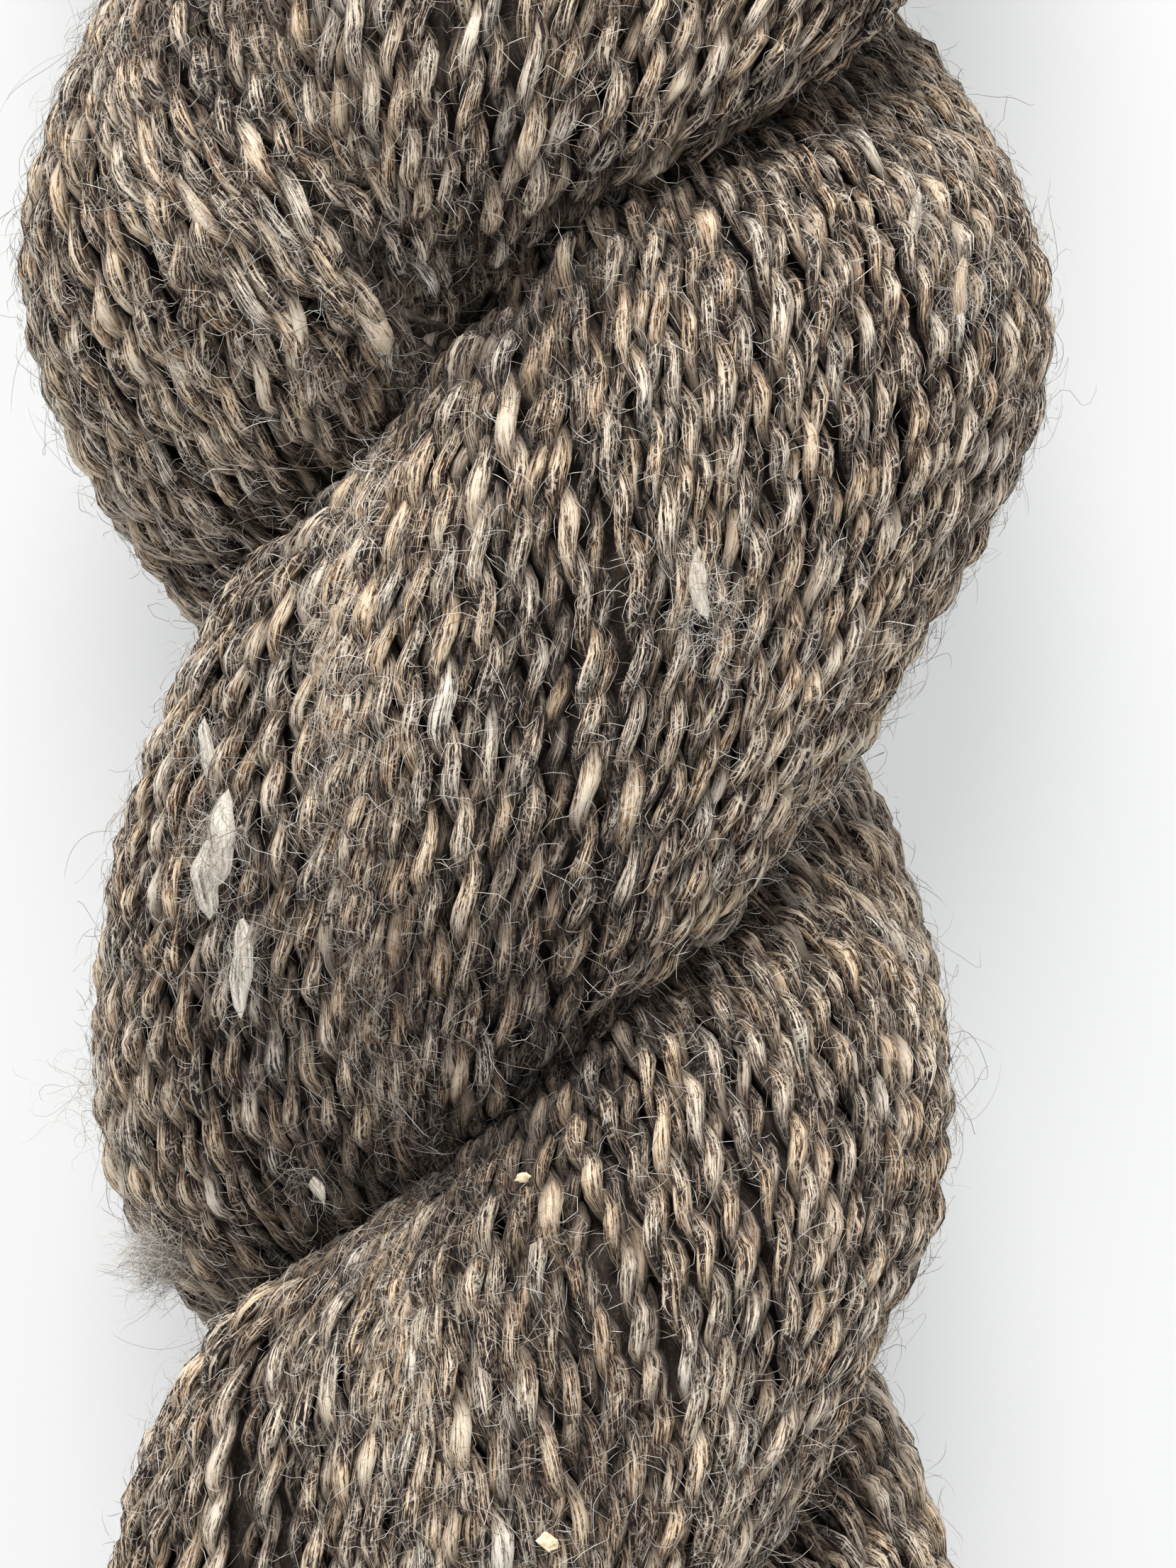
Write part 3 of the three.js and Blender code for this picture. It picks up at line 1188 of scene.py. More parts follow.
@dataclass
class Spinner:
    """Spins two plies along a yarn's middle line, thick and thin, with heathered colour."""

    rng: np.random.Generator
    ply_radius: float = 0.6
    ply_offset: float = 0.54
    ply_floor: float = 0.03
    ply_end: float = 0.4
    bulge: float = 0.3
    thick_and_thin: float = 0.2
    pale_swell: float = 0.22
    pale_start: float = 0.3
    plain_swell: float = 0.94
    lay: float = 8.6
    lay_spread: tuple[float, float] = (0.86, 1.18)
    lay_drift: float = 0.35
    fibre_slant: float = 0.16
    fibre_start: float = 900.0
    wander: float = 0.55
    rise: float = 0.32
    rise_spread: float = 0.17
    # Painted shade where a ply turns under its partner.
    orbit_shade: float = 0.72
    tone: float = 0.385
    tone_spread: float = 0.07
    tone_slow: float = 0.1
    tone_quick: float = 0.095
    grey: float = 0.34
    grey_spread: float = 0.14
    grey_drift: float = 0.42
    lock_spacing: float = 15.0
    lock_half: tuple[float, float] = (1.5, 3.6)
    lock_light: tuple[float, float] = (0.05, 0.32)

    def heather(self, s: Array) -> tuple[Array, Array]:
        """Colours one ply.

        Args:
            s: How far along the yarn each ring is.

        Returns:
            Lightness of the fibre blend, and how grey its light stretches are.
        """
        rng = self.rng
        tone = self.tone + rng.normal(0, self.tone_spread) + self.tone_slow * soft_noise(rng, s, (27, 60))
        tone += self.tone_quick * soft_noise(rng, s, (5, 8, 12))
        grey = self.grey + rng.normal(0, self.grey_spread) + self.grey_drift * soft_noise(rng, s, (9, 14, 33))
        for _ in range(rng.poisson((s[-1] - s[0]) / self.lock_spacing)):
            centre, half = rng.uniform(s[0], s[-1]), rng.uniform(*self.lock_half)
            tone += rng.uniform(*self.lock_light) * np.exp(-(((s - centre) / half) ** 4))
        return np.clip(tone, 0, 1), np.clip(grey, 0, 1)

    def spin(self, path: YarnPath, batch: TubeBatch) -> None:
        """Adds both plies of one yarn to a batch, and moves its path to the yarn's drifted middle.

        Args:
            path: The yarn's middle line.
            batch: Where its tubes go.
        """
        rng, sides = self.rng, path.detail.sides
        along, out, side = carried_frames(path.points, path.facing)
        s = run_lengths(path.points)
        drift = self.wander * soft_noise(rng, s, (15, 28, 60))
        lift = self.rise * soft_noise(rng, s, (13, 31, 60)) + rng.normal(0, self.rise_spread)
        middle = path.points + side * drift[:, None] + out * lift[:, None]
        lay = self.lay * rng.uniform(*self.lay_spread)
        turn = rng.uniform(0, TURN) + TURN * s / lay + self.lay_drift * soft_noise(rng, s, (19, 43))
        round_ply = TURN * np.arange(sides) / sides
        ring = np.cos(round_ply)[:, None] * out[:, None] + np.sin(round_ply)[:, None] * side[:, None]
        low = np.broadcast_to(path.shaded, s.shape) - lift
        path.points, path.facing = middle, out
        for angle in (turn, turn + math.pi):
            thick = self.ply_radius * path.swell * (1 + self.thick_and_thin * soft_noise(rng, s, (6, 15, 29)))
            tone, grey = self.heather(s)
            thick *= self.plain_swell + self.pale_swell * np.clip(tone - self.pale_start, 0, 1)
            thick *= 1 + self.bulge * np.cos(angle)
            away = out * np.cos(angle)[:, None] + side * np.sin(angle)[:, None]
            centre = middle + self.ply_offset * path.swell * away
            rings = centre[:, None] + ring * thick[:, None, None]
            # The third blend value is painted shade: ring points low on the yarn, a ply turned under its
            # partner and the path's painted shade all darken its colour.
            height = np.einsum("ijk,ik->ij", rings - middle[:, None], out)
            height += (self.orbit_shade * self.ply_offset * np.cos(angle) - low)[:, None]
            ends = centre[[0, -1]] + along[[0, -1]] * [[-self.ply_end], [self.ply_end]]
            rings[..., 2] = np.maximum(rings[..., 2], self.ply_floor)
            ends[:, 2] = np.maximum(ends[:, 2], self.ply_floor)
            start = s[:, None] + rng.uniform(0, self.fibre_start)
            fibre = fibre_places(start, round_ply[None, :] + self.fibre_slant * s[:, None])
            blend = np.stack(np.broadcast_arrays(tone[:, None], grey[:, None], height), axis=-1)
            values = {"fibre": with_ends(fibre), "blend": with_ends(blend)}
            batch.add(rings, ends, TURN * self.ply_radius, values)


class Tuft(NamedTuple):
    """A wisp of fleece: root pixel and height, heading and fan in degrees, fibres, spread and tone."""

    px: float
    py: float
    height: float
    heading: float
    fan: float
    count: int
    spread: float
    tone: float


TUFTS = (
    Tuft(254, 1784, 28, 160, 22, 560, 1.5, 0.86),
    Tuft(236, 1768, 29, 172, 22, 340, 1.0, 0.84),
    Tuft(140, 1545, 24, 165, 30, 90, 2.4, 0.9),
    Tuft(1006, 884, 50.6, 85, 180, 70, 1.1, 1.0),
)


class Slub(NamedTuple):
    """A lump of unspun pale fleece: its pixel, lean to the right in degrees, size, tone and greyness."""

    px: float
    py: float
    lean: float
    length: float
    width: float
    tone: float
    grey: float


SLUBS = (
    Slub(293, 1058, -3, 4.6, 1.4, 0.86, 1.0),
    Slub(314, 1184, 14, 7.0, 2.5, 0.86, 1.0),
    Slub(296, 1236, 6, 6.0, 2.7, 0.84, 1.0),
    Slub(342, 1364, -1, 7.2, 2.0, 0.9, 1.0),
    Slub(444, 1668, -30, 3.4, 1.2, 0.72, 0.9),
    Slub(1290, 307, 8, 4.4, 1.2, 0.8, 0.8),
    Slub(1354, 413, 10, 5.4, 1.5, 0.76, 0.2),
    Slub(987, 822, -10, 5.2, 1.4, 0.95, 0.9),
)


@dataclass
class Slubs:
    """Pale lumps in the yarns, as short thick tubes of fleece that taper into them."""

    form: HankForm
    view: PhotoView
    sides: int = 8
    rings: int = 11
    flatness: float = 0.5
    raised: float = 0.2
    sunk_ends: float = 1.1
    bow: Ripple = Ripple(0.12, 5.0)
    bend: Ripple = Ripple(0.25, 2.5)
    uneven: Ripple = Ripple(0.1, 7.0)
    taper: float = 0.55
    narrowest: float = 0.02
    fibre_slant: float = 0.1
    # Painted shade value that leaves the lumps in full light.
    depth: float = 1.6
    point: float = 0.2
    girth: float = 2.5
    wisps_per_mm: float = 10.0
    wisp_rise: float = 0.5
    wisp_fan: float = 16.0
    wisp_tone: float = 0.84
    length_to_spread: float = 5.0

    def add(self, slub: Slub, batch: TubeBatch) -> YarnPath:
        """Adds one lump to a batch.

        Args:
            slub: The lump.
            batch: Where its tube goes.

        Returns:
            Its line, for fibres to grow from.
        """
        point, out = self.view.surface(self.form, slub.px, slub.py)
        lean = math.radians(slub.lean)
        along = np.array([math.sin(lean), math.cos(lean), 0.0])
        along = unit(along - out * (along @ out))
        side = np.cross(along, out)
        t = np.linspace(-1, 1, self.rings)
        s = t * slub.length / 2
        bow = self.raised * (1 - self.sunk_ends * t**2 + self.bow.at(t, slub.px))
        bend = self.bend.at(t, slub.py)
        middle = point + out * bow[:, None] + side * bend[:, None] + along * s[:, None]
        round_ply = TURN * np.arange(self.sides) / self.sides
        half = slub.width / 2 * np.clip(1 - t**2, self.narrowest, 1) ** self.taper
        half *= 1 + self.uneven.at(t, slub.px)
        flat = out * self.flatness * np.cos(round_ply)[:, None] + side * np.sin(round_ply)[:, None]
        rings = middle[:, None] + flat[None] * half[:, None, None]
        start = s[:, None] + slub.px
        fibre = fibre_places(start, round_ply + self.fibre_slant * start).reshape(-1, 3)
        fibre = np.concatenate([fibre, fibre[[0, -1]]])
        blend = np.tile([slub.tone, slub.grey, self.depth], (len(fibre), 1))
        ends = middle[[0, -1]] + along * [[-self.point], [self.point]]
        batch.add(rings, ends, self.girth, {"fibre": fibre, "blend": blend})
        facing = np.repeat(out[None], self.rings, 0)
        return YarnPath(middle, facing, Detail.CLOSE, Region.at(point[1]))

    def wisps(self) -> list[Tuft]:
        """Loose fibres that feather the lumps.

        Returns:
            Two wisps for each lump, towards its ends.
        """
        found = []
        for slub in SLUBS:
            point, _ = self.view.surface(self.form, slub.px, slub.py)
            height, count = point[2] + self.wisp_rise, int(self.wisps_per_mm * slub.length)
            fan, spread = self.wisp_fan, slub.length / self.length_to_spread
            wisp = Tuft(slub.px, slub.py, height, 90 - slub.lean, fan, count, spread, self.wisp_tone)
            found += [wisp, wisp._replace(heading=wisp.heading + 180)]
        return found

    def build(self, material: bpy.types.Material, paths: list[YarnPath]) -> bpy.types.Object:
        """Builds the lumps, and adds their lines to the paths.

        Args:
            material: Their finish.
            paths: The yarns' lines, which get the lumps' too.

        Returns:
            The lumps' object.
        """
        batch = TubeBatch()
        for slub in SLUBS:
            paths.append(self.add(slub, batch))
        return batch.build("hank_slubs", material)


class Speck(NamedTuple):
    """A flake of chaff caught in the yarn: its pixel, size and turn in degrees."""

    px: float
    py: float
    length: float
    width: float
    turn: float


SPECKS = (
    Speck(737, 1660, 1.1, 0.7, 10),
    Speck(772, 2172, 1.35, 1.1, -35),
)


@dataclass
class Specks:
    """Flakes of chaff, as small rough chips."""

    form: HankForm
    view: PhotoView
    rng: np.random.Generator
    thickness: float = 0.35
    raised: float = 0.75
    rough: float = 0.22

    def build(self, material: bpy.types.Material) -> bpy.types.Object:
        """Builds the flakes.

        Args:
            material: Their finish.

        Returns:
            The flakes' object.
        """
        chips = bmesh.new()
        for speck in SPECKS:
            point, out = self.view.surface(self.form, speck.px, speck.py)
            made = bmesh.ops.create_icosphere(chips, subdivisions=2, radius=0.5)["verts"]
            for vert in made:
                vert.co *= float(1 + self.rough * self.rng.normal())
            size = Matrix.Diagonal((speck.width, speck.length, self.thickness, 1))
            lean = Vector(out).to_track_quat("Z", "Y").to_matrix().to_4x4()
            turned = lean @ Matrix.Rotation(math.radians(speck.turn), 4, "Z") @ size
            place = Matrix.Translation(Vector(point + out * self.raised)) @ turned
            bmesh.ops.transform(chips, matrix=Matrix.Scale(METRES, 4) @ place, verts=made)
        return shaped_piece("hank_specks", chips, material)


@dataclass(frozen=True)
class FibreKind:
    """A kind of loose fibre: how many, how long, and how it lies and curls."""

    name: str
    count: int
    segments: int
    shortest: float
    longest: float
    lift: float
    curl: float
    half_width: float
    paleness: float


TUFT_KIND = FibreKind("tufts", 0, 6, 2.0, 6.0, 0.9, 0.9, 0.013, 0.5)
FIBRE_KINDS = (
    FibreKind("nap", 9000, 2, 0.8, 2.0, 0.5, 0.6, 0.02, 0.74),
    FibreKind("fuzz", 14000, 3, 1.4, 3.6, 0.6, 0.6, 0.022, 0.78),
    FibreKind("curls", 7000, 5, 2.4, 6.5, 0.6, 0.45, 0.022, 0.78),
    FibreKind("flyaways", 260, 12, 7.0, 15.0, 1.0, 0.2, 0.018, 0.4),
)
FIBRES_GROWN = {Detail.CLOSE: 3.4, Detail.SHADED: 0.8, Detail.SIDE: 0.7, Detail.UNDER: 0.07}


@dataclass
class Halo:
    """Loose fibres that grow out of the yarns, as closed three-sided tapering tubes."""

    paths: list[YarnPath]
    form: HankForm
    rng: np.random.Generator
    reach: float = 8.5
    sides: int = 3
    floor_gap: float = 0.12
    root_rise: tuple[float, float] = (0.75, 1.45)
    root_side: float = 0.9
    root_span: tuple[float, float] = (0.07, 0.93)
    length_power: float = 1.5
    heading_spread: float = 1.25
    wave_spread: float = 0.06
    wave_turns: float = 1.3
    wave_shift: float = 5.0
    climb: tuple[float, float] = (0.05, 1.0)
    fall: tuple[float, float] = (0.3, 1.35)
    rise: Ripple = Ripple(0.25, 4.0)
    rise_shift: float = 9.0
    tuft_shape: tuple[float, float, float] = (0.5, 0.7, 1.0)
    tuft_climb: float = 0.3
    tuft_bend: float = 2.0
    tuft_sway: Ripple = Ripple(0.7, 5.0)
    tuft_rise: Ripple = Ripple(0.5, 5.0)
    thickness: tuple[float, float] = (0.7, 1.25)
    taper_start: float = 0.12
    taper_span: float = 0.8
    taper_power: float = 0.6
    dark_share: float = 0.25
    dark_tone: float = 0.3
    tone_spread: float = 0.16
    greyness: tuple[float, float] = (0.2, 1.0)
    dim_share: float = 0.5
    darkest: float = 0.85
    girth: float = 0.6

    def roots(self, count: int) -> tuple[Array, Array, Array, Array]:
        """Picks places on the yarns for fibres to grow from.

        Args:
            count: How many fibres grow.

        Returns:
            The root points, with directions along the yarn, outwards and across.
        """
        rng = self.rng
        share = np.array([FIBRES_GROWN[p.detail] * len(p.points) * p.detail.step for p in self.paths])
        chosen = rng.choice(len(self.paths), count, p=share / share.sum())
        rows = []
        for path in (self.paths[index] for index in chosen):
            i = int(len(path.points) * rng.uniform(*self.root_span))
            i = min(max(i, 1), len(path.points) - 2)
            rows.append((path.points[i], path.points[i + 1] - path.points[i - 1], path.facing[i]))
        point, along, out = (np.array(column) for column in zip(*rows))
        along = unit(along) * np.where(rng.random(count) < 0.5, -1, 1)[:, None]
        out = unit(out - along * (out * along).sum(1, keepdims=True))
        side = np.cross(along, out)
        point = point + out * rng.uniform(*self.root_rise, (count, 1))
        point = point + side * rng.uniform(-self.root_side, self.root_side, (count, 1))
        return point, along, out, side

    def kept_in(self, lines: Array) -> Array:
        """Fibres' points, kept within reach of the solid's box."""
        low, high = (np.array(corner) / METRES for corner in CAD_BOX)
        return np.clip(lines, low - self.reach, high + self.reach)

    def grow(self, kind: FibreKind, batch: TubeBatch) -> None:
        """Adds every fibre of one kind to a batch.

        Args:
            kind: What kind of fibre they are.
            batch: Where the tubes go.
        """
        rng, n, k = self.rng, kind.count, kind.segments
        point, along, out, side = self.roots(n)
        share = rng.uniform(0, 1, n) ** self.length_power
        length = share * (kind.longest - kind.shortest) + kind.shortest
        heading = rng.normal(0, self.heading_spread, n)
        bend = rng.normal(0, kind.curl, n)
        wave = rng.normal(0, self.wave_spread * k, n)
        climb = rng.uniform(*self.climb, n) * kind.lift
        fall = rng.uniform(*self.fall, n) * kind.lift
        line = [point]
        for i in range(k):
            t = (i + 0.5) / k
            waved = wave * np.sin(TURN * t * self.wave_turns + wave * self.wave_shift)
            turn = heading + bend * length * t + waved
            rise = climb - fall * t + self.rise.at(t, bend * self.rise_shift)
            flat = np.cos(turn)[:, None] * along + np.sin(turn)[:, None] * side
            step = np.cos(rise)[:, None] * flat + np.sin(rise)[:, None] * out
            line.append(line[-1] + step * (length / k)[:, None])
        lines = self.kept_in(np.stack(line, axis=1))
        lines[..., 2] = np.maximum(lines[..., 2], self.floor_gap)
        self.write(lines, kind, batch)

    def tuft(self, tuft: Tuft, view: PhotoView, batch: TubeBatch) -> None:
        """Adds the curling fibres of one wisp to a batch.

        Args:
            tuft: The wisp.
            view: The camera that its pixel belongs to.
            batch: Where the tubes go.
        """
        rng, kind, n = self.rng, replace(TUFT_KIND, paleness=tuft.tone), tuft.count
        root = view.ray(tuft.px, tuft.py, np.full(n, tuft.height))
        root = root + rng.normal(0, tuft.spread, (n, 3)) * self.tuft_shape
        length = rng.uniform(kind.shortest, kind.longest, n)
        heading = np.radians(tuft.heading + rng.normal(0, tuft.fan, n))
        climb = rng.normal(0, self.tuft_climb, n)
        bend, phase = rng.normal(0, kind.curl, n), rng.uniform(0, TURN, n)
        line = [root]
        for i in range(kind.segments):
            t = (i + 0.5) / kind.segments
            turn = heading + bend * t * self.tuft_bend + self.tuft_sway.at(t, phase)
            rise = climb + self.tuft_rise.at(t, 2 * phase)
            flat = np.cos(rise)
            step = np.stack([np.cos(turn) * flat, np.sin(turn) * flat, np.sin(rise)], axis=1)
            line.append(line[-1] + step * (length / kind.segments)[:, None])
        self.write(self.kept_in(np.stack(line, axis=1)), kind, batch, seam=0.0)

    def write(self, lines: Array, kind: FibreKind, batch: TubeBatch, seam: float = 0.7) -> None:
        """Turns fibres' middle lines into tubes of the batch.

        Args:
            lines: The fibres' points, as fibres by points by 3.
            kind: What kind of fibre they are.
            batch: Where the tubes go.
            seam: How far the seams' shade reaches them, from 0 to 1.
        """
        rng, count = self.rng, len(lines)
        along = unit(np.gradient(lines, axis=1))
        across = unit(np.cross(along, rng.normal(size=(count, 1, 3))))
        third = np.cross(along, across)
        turn = TURN * np.arange(self.sides) / self.sides
        place = self.taper_start + self.taper_span * np.linspace(0, 1, kind.segments + 1)
        shape = np.sin(math.pi * place) ** self.taper_power
        width = kind.half_width * rng.uniform(*self.thickness, (count, 1)) * shape
        ring = across[:, :, None] * np.cos(turn)[:, None] + third[:, :, None] * np.sin(turn)[:, None]
        rings = lines[:, :, None] + ring * width[:, :, None, None]
        pale = np.clip(rng.normal(kind.paleness, self.tone_spread, count), 0, 1)
        pale = np.where(rng.random(count) < self.dark_share, self.dark_tone * pale**2, pale)
        grey = rng.uniform(*self.greyness, count)
        order = np.concatenate([np.repeat(np.arange(1, kind.segments), self.sides), [0, kind.segments]])
        for i, line in enumerate(lines):
            # Painted shade on the fibres, from the seams and the dim patches.
            dark = self.form.seam_shade(line) * seam + self.dim_share * self.form.dimmed(line)
            lit = 1 - np.clip(dark, 0, self.darkest)
            blend = np.stack(np.broadcast_arrays(pale[i], grey[i], lit[order]), axis=1)
            batch.add(rings[i, 1:-1], line[[0, -1]], self.girth, {"blend": blend})


class Nodes:
    """Short ways to add shader nodes to one tree."""

    def __init__(self, tree: bpy.types.NodeTree) -> None:
        """Keeps the tree."""
        self.tree = tree

    def add(self, kind: str, **settings: object) -> bpy.types.Node:
        """A new node.

        Args:
            kind: Its type.
            **settings: Its properties.

        Returns:
            The node.
        """
        node = self.tree.nodes.new(kind)
        for name, value in settings.items():
            setattr(node, name, value)
        return node

    def feed(self, socket: Socket, value: object) -> None:
        """Joins a socket to the one that feeds it, or sets its constant.

        Args:
            socket: The socket that is fed.
            value: A socket or a constant.
        """
        if isinstance(value, Socket):
            self.tree.links.new(value, socket)
        else:
            socket.default_value = value

    def math(self, operation: str, first: object, second: object = 0.0, clamp: bool = False) -> Socket:
        """Result of a math node.

        Args:
            operation: What it works out.
            first: A socket or a number.
            second: A socket or a number.
            clamp: Whether the result is kept from 0 to 1.

        Returns:
            The result's socket.
        """
        node = self.add("ShaderNodeMath", operation=operation, use_clamp=clamp)
        self.feed(node.inputs[0], first)
        self.feed(node.inputs[1], second)
        return node.outputs[0]

    def stretched(self, value: object, middle: object, gain: float, clamp: bool = False) -> Socket:
        """How far a value lies above a middle, times a gain."""
        return self.math("MULTIPLY", self.math("SUBTRACT", value, middle), gain, clamp)

    def noise(self, place: Socket, **values: float) -> Socket:
        """Noise read at a place.

        Args:
            place: Where it is read.
            **values: Constants of its sockets.

        Returns:
            The noise, from 0 to 1.
        """
        node = self.add("ShaderNodeTexNoise", noise_dimensions="3D")
        self.feed(node.inputs["Vector"], place)
        for name, value in values.items():
            self.feed(node.inputs[name], value)
        return node.outputs["Fac"]

    def parts(self, vector: Socket) -> bpy.types.NodeOutputs:
        """Takes a vector apart.

        Args:
            vector: The vector.

        Returns:
            Its three parts.
        """
        node = self.add("ShaderNodeSeparateXYZ")
        self.feed(node.inputs[0], vector)
        return node.outputs

    def attribute(self, name: str) -> Socket:
        """An attribute of the mesh, as a vector."""
        return self.add("ShaderNodeAttribute", attribute_name=name).outputs["Vector"]

    def object_place(self) -> Socket:
        """Object coordinates."""
        return self.add("ShaderNodeTexCoord").outputs["Object"]

    def mapped(self, place: Socket, scale: Sequence[float], shift: float = 0.0) -> Socket:
        """A place that is stretched and then shifted.

        Args:
            place: The place.
            scale: Stretch along each axis.
            shift: Shift along all three.

        Returns:
            The new place.
        """
        node = self.add("ShaderNodeMapping")
        self.feed(node.inputs["Vector"], place)
        self.feed(node.inputs["Location"], (shift, shift, shift))
        self.feed(node.inputs["Scale"], scale)
        return node.outputs[0]

    def turned(self, vector: Socket, axis: str, angle: object) -> Socket:
        """A vector turned about an axis.

        Args:
            vector: The vector.
            axis: X, Y or Z.
            angle: A socket or a number of radians.

        Returns:
            The turned vector.
        """
        node = self.add("ShaderNodeVectorRotate", rotation_type=f"{axis}_AXIS")
        self.feed(node.inputs["Vector"], vector)
        self.feed(node.inputs["Angle"], angle)
        return node.outputs[0]

    def ramp(self, fac: Socket, stops: Stops) -> Socket:
        """Colour of a ramp.

        Args:
            fac: Where on the ramp it is read.
            stops: Places and colours of its stops.

        Returns:
            The colour.
        """
        node = self.add("ShaderNodeValToRGB")
        elements = node.color_ramp.elements
        while len(elements) < len(stops):
            elements.new(0.5)
        for element, (place, colour) in zip(elements, stops):
            element.position = place
            element.color = (*colour, 1)
        self.feed(node.inputs[0], fac)
        return node.outputs[0]

    def mix(self, fac: object, first: object, second: object, blend: str = "MIX") -> Socket:
        """Colour mixed from two colours.

        Args:
            fac: A socket or a number from 0 to 1.
            first: A socket or a colour.
            second: A socket or a colour.
            blend: How they are mixed.

        Returns:
            The mixed colour.
        """
        node = self.add("ShaderNodeMix", data_type="RGBA", blend_type=blend)
        for socket, value in zip((node.inputs[0], node.inputs[6], node.inputs[7]), (fac, first, second)):
            self.feed(socket, value)
        return node.outputs[2]

    def raised(self, shader: bpy.types.Node, height: Socket, distance: float, strength: float) -> None:
        """Gives a shader bumps.

        Args:
            shader: The shader.
            height: The bumps' height.
            distance: How high they stand, in millimetres.
            strength: How strongly they show, from 0 to 1.
        """
        bump = self.add("ShaderNodeBump")
        self.feed(bump.inputs["Strength"], strength)
        self.feed(bump.inputs["Distance"], distance * METRES)
        self.feed(bump.inputs["Height"], height)
        self.feed(shader.inputs["Normal"], bump.outputs[0])


def linear_light(value: float) -> float:
    """A screen value of 0 to 255 as linear light."""
    value /= 255
    return value / 12.92 if value <= 0.04045 else ((value + 0.055) / 1.055) ** 2.4


def srgb(red: int, green: int, blue: int) -> Colour:
    """A screen colour of 0 to 255 as linear light."""
    return linear_light(red), linear_light(green), linear_light(blue)


class Effect:
    """A node group that more than one finish uses, made the first time that it is asked for."""

    name: str
    inputs: dict[str, str]
    outputs: tuple[str, ...]

    def group(self) -> bpy.types.NodeTree:
        """The node group.

        Returns:
            The group of this name, which is made if it isn't there yet.
        """
        found = bpy.data.node_groups.get(self.name)
        if found:
            return found
        tree = bpy.data.node_groups.new(self.name, "ShaderNodeTree")
        for name, kind in self.inputs.items():
            tree.interface.new_socket(name, in_out="INPUT", socket_type=kind)
        for name in self.outputs:
            tree.interface.new_socket(name, in_out="OUTPUT", socket_type="NodeSocketFloat")
        nodes = Nodes(tree)
        entry, leave = nodes.add("NodeGroupInput"), nodes.add("NodeGroupOutput")
        for name, value in self.results(nodes, entry.outputs).items():
            nodes.feed(leave.inputs[name], value)
        return tree

    def results(self, nodes: Nodes, given: bpy.types.NodeOutputs) -> dict[str, Socket]:
        """The outputs' values, which each effect works out."""
        raise NotImplementedError


class StrayKind(NamedTuple):
    """Stray fibres of one direction: lean in degrees, shift of the pattern and thinness."""

    lean: float
    shift: float
    thin: float


class Strays(Effect):
    """Fine stray fibres that lie every way over the yarns: a mask of thin curling lines."""

    name = "stray_lines"
    inputs = {"Place": "NodeSocketVector"}
    outputs = ("Lines",)
    kinds = (StrayKind(28, 0.0, 0.026), StrayKind(-34, 3.0, 0.028), StrayKind(70, 7.0, 0.022))
    scale = (1500, 300, 1300)
    distortion = 0.7
    patch_scale = 1.3
    patch_share = 0.45
    patch_gain = 12.0

    def results(self, nodes: Nodes, given: bpy.types.NodeOutputs) -> dict[str, Socket]:
        """Works out the mask.

        Args:
            nodes: The group's nodes.
            given: What the group is given.

        Returns:
            The mask, by its output's name.
        """
        total = None
        for kind in self.kinds:
            turned = nodes.turned(given["Place"], "Z", math.radians(kind.lean))
            place = nodes.mapped(turned, self.scale, kind.shift)
            cloud = nodes.noise(place, Scale=1.0, Detail=1.0, Distortion=self.distortion)
            off = nodes.math("ABSOLUTE", nodes.math("SUBTRACT", cloud, NOISE_MIDDLE))
            line = nodes.math("SUBTRACT", 1.0, nodes.math("DIVIDE", off, kind.thin), clamp=True)
            patches = nodes.noise(place, Scale=self.patch_scale, Detail=0.0)
            kept = nodes.stretched(patches, self.patch_share, self.patch_gain, True)
            line = nodes.math("MULTIPLY", line, kept)
            total = line if total is None else nodes.math("MAXIMUM", total, line)
        return {"Lines": total}


class StreakKind(NamedTuple):
    """Streaks along a ply: which width they take, stretch, detail and slant in radians a millimetre."""

    width: str
    stretch: float
    detail: float
    slant: float


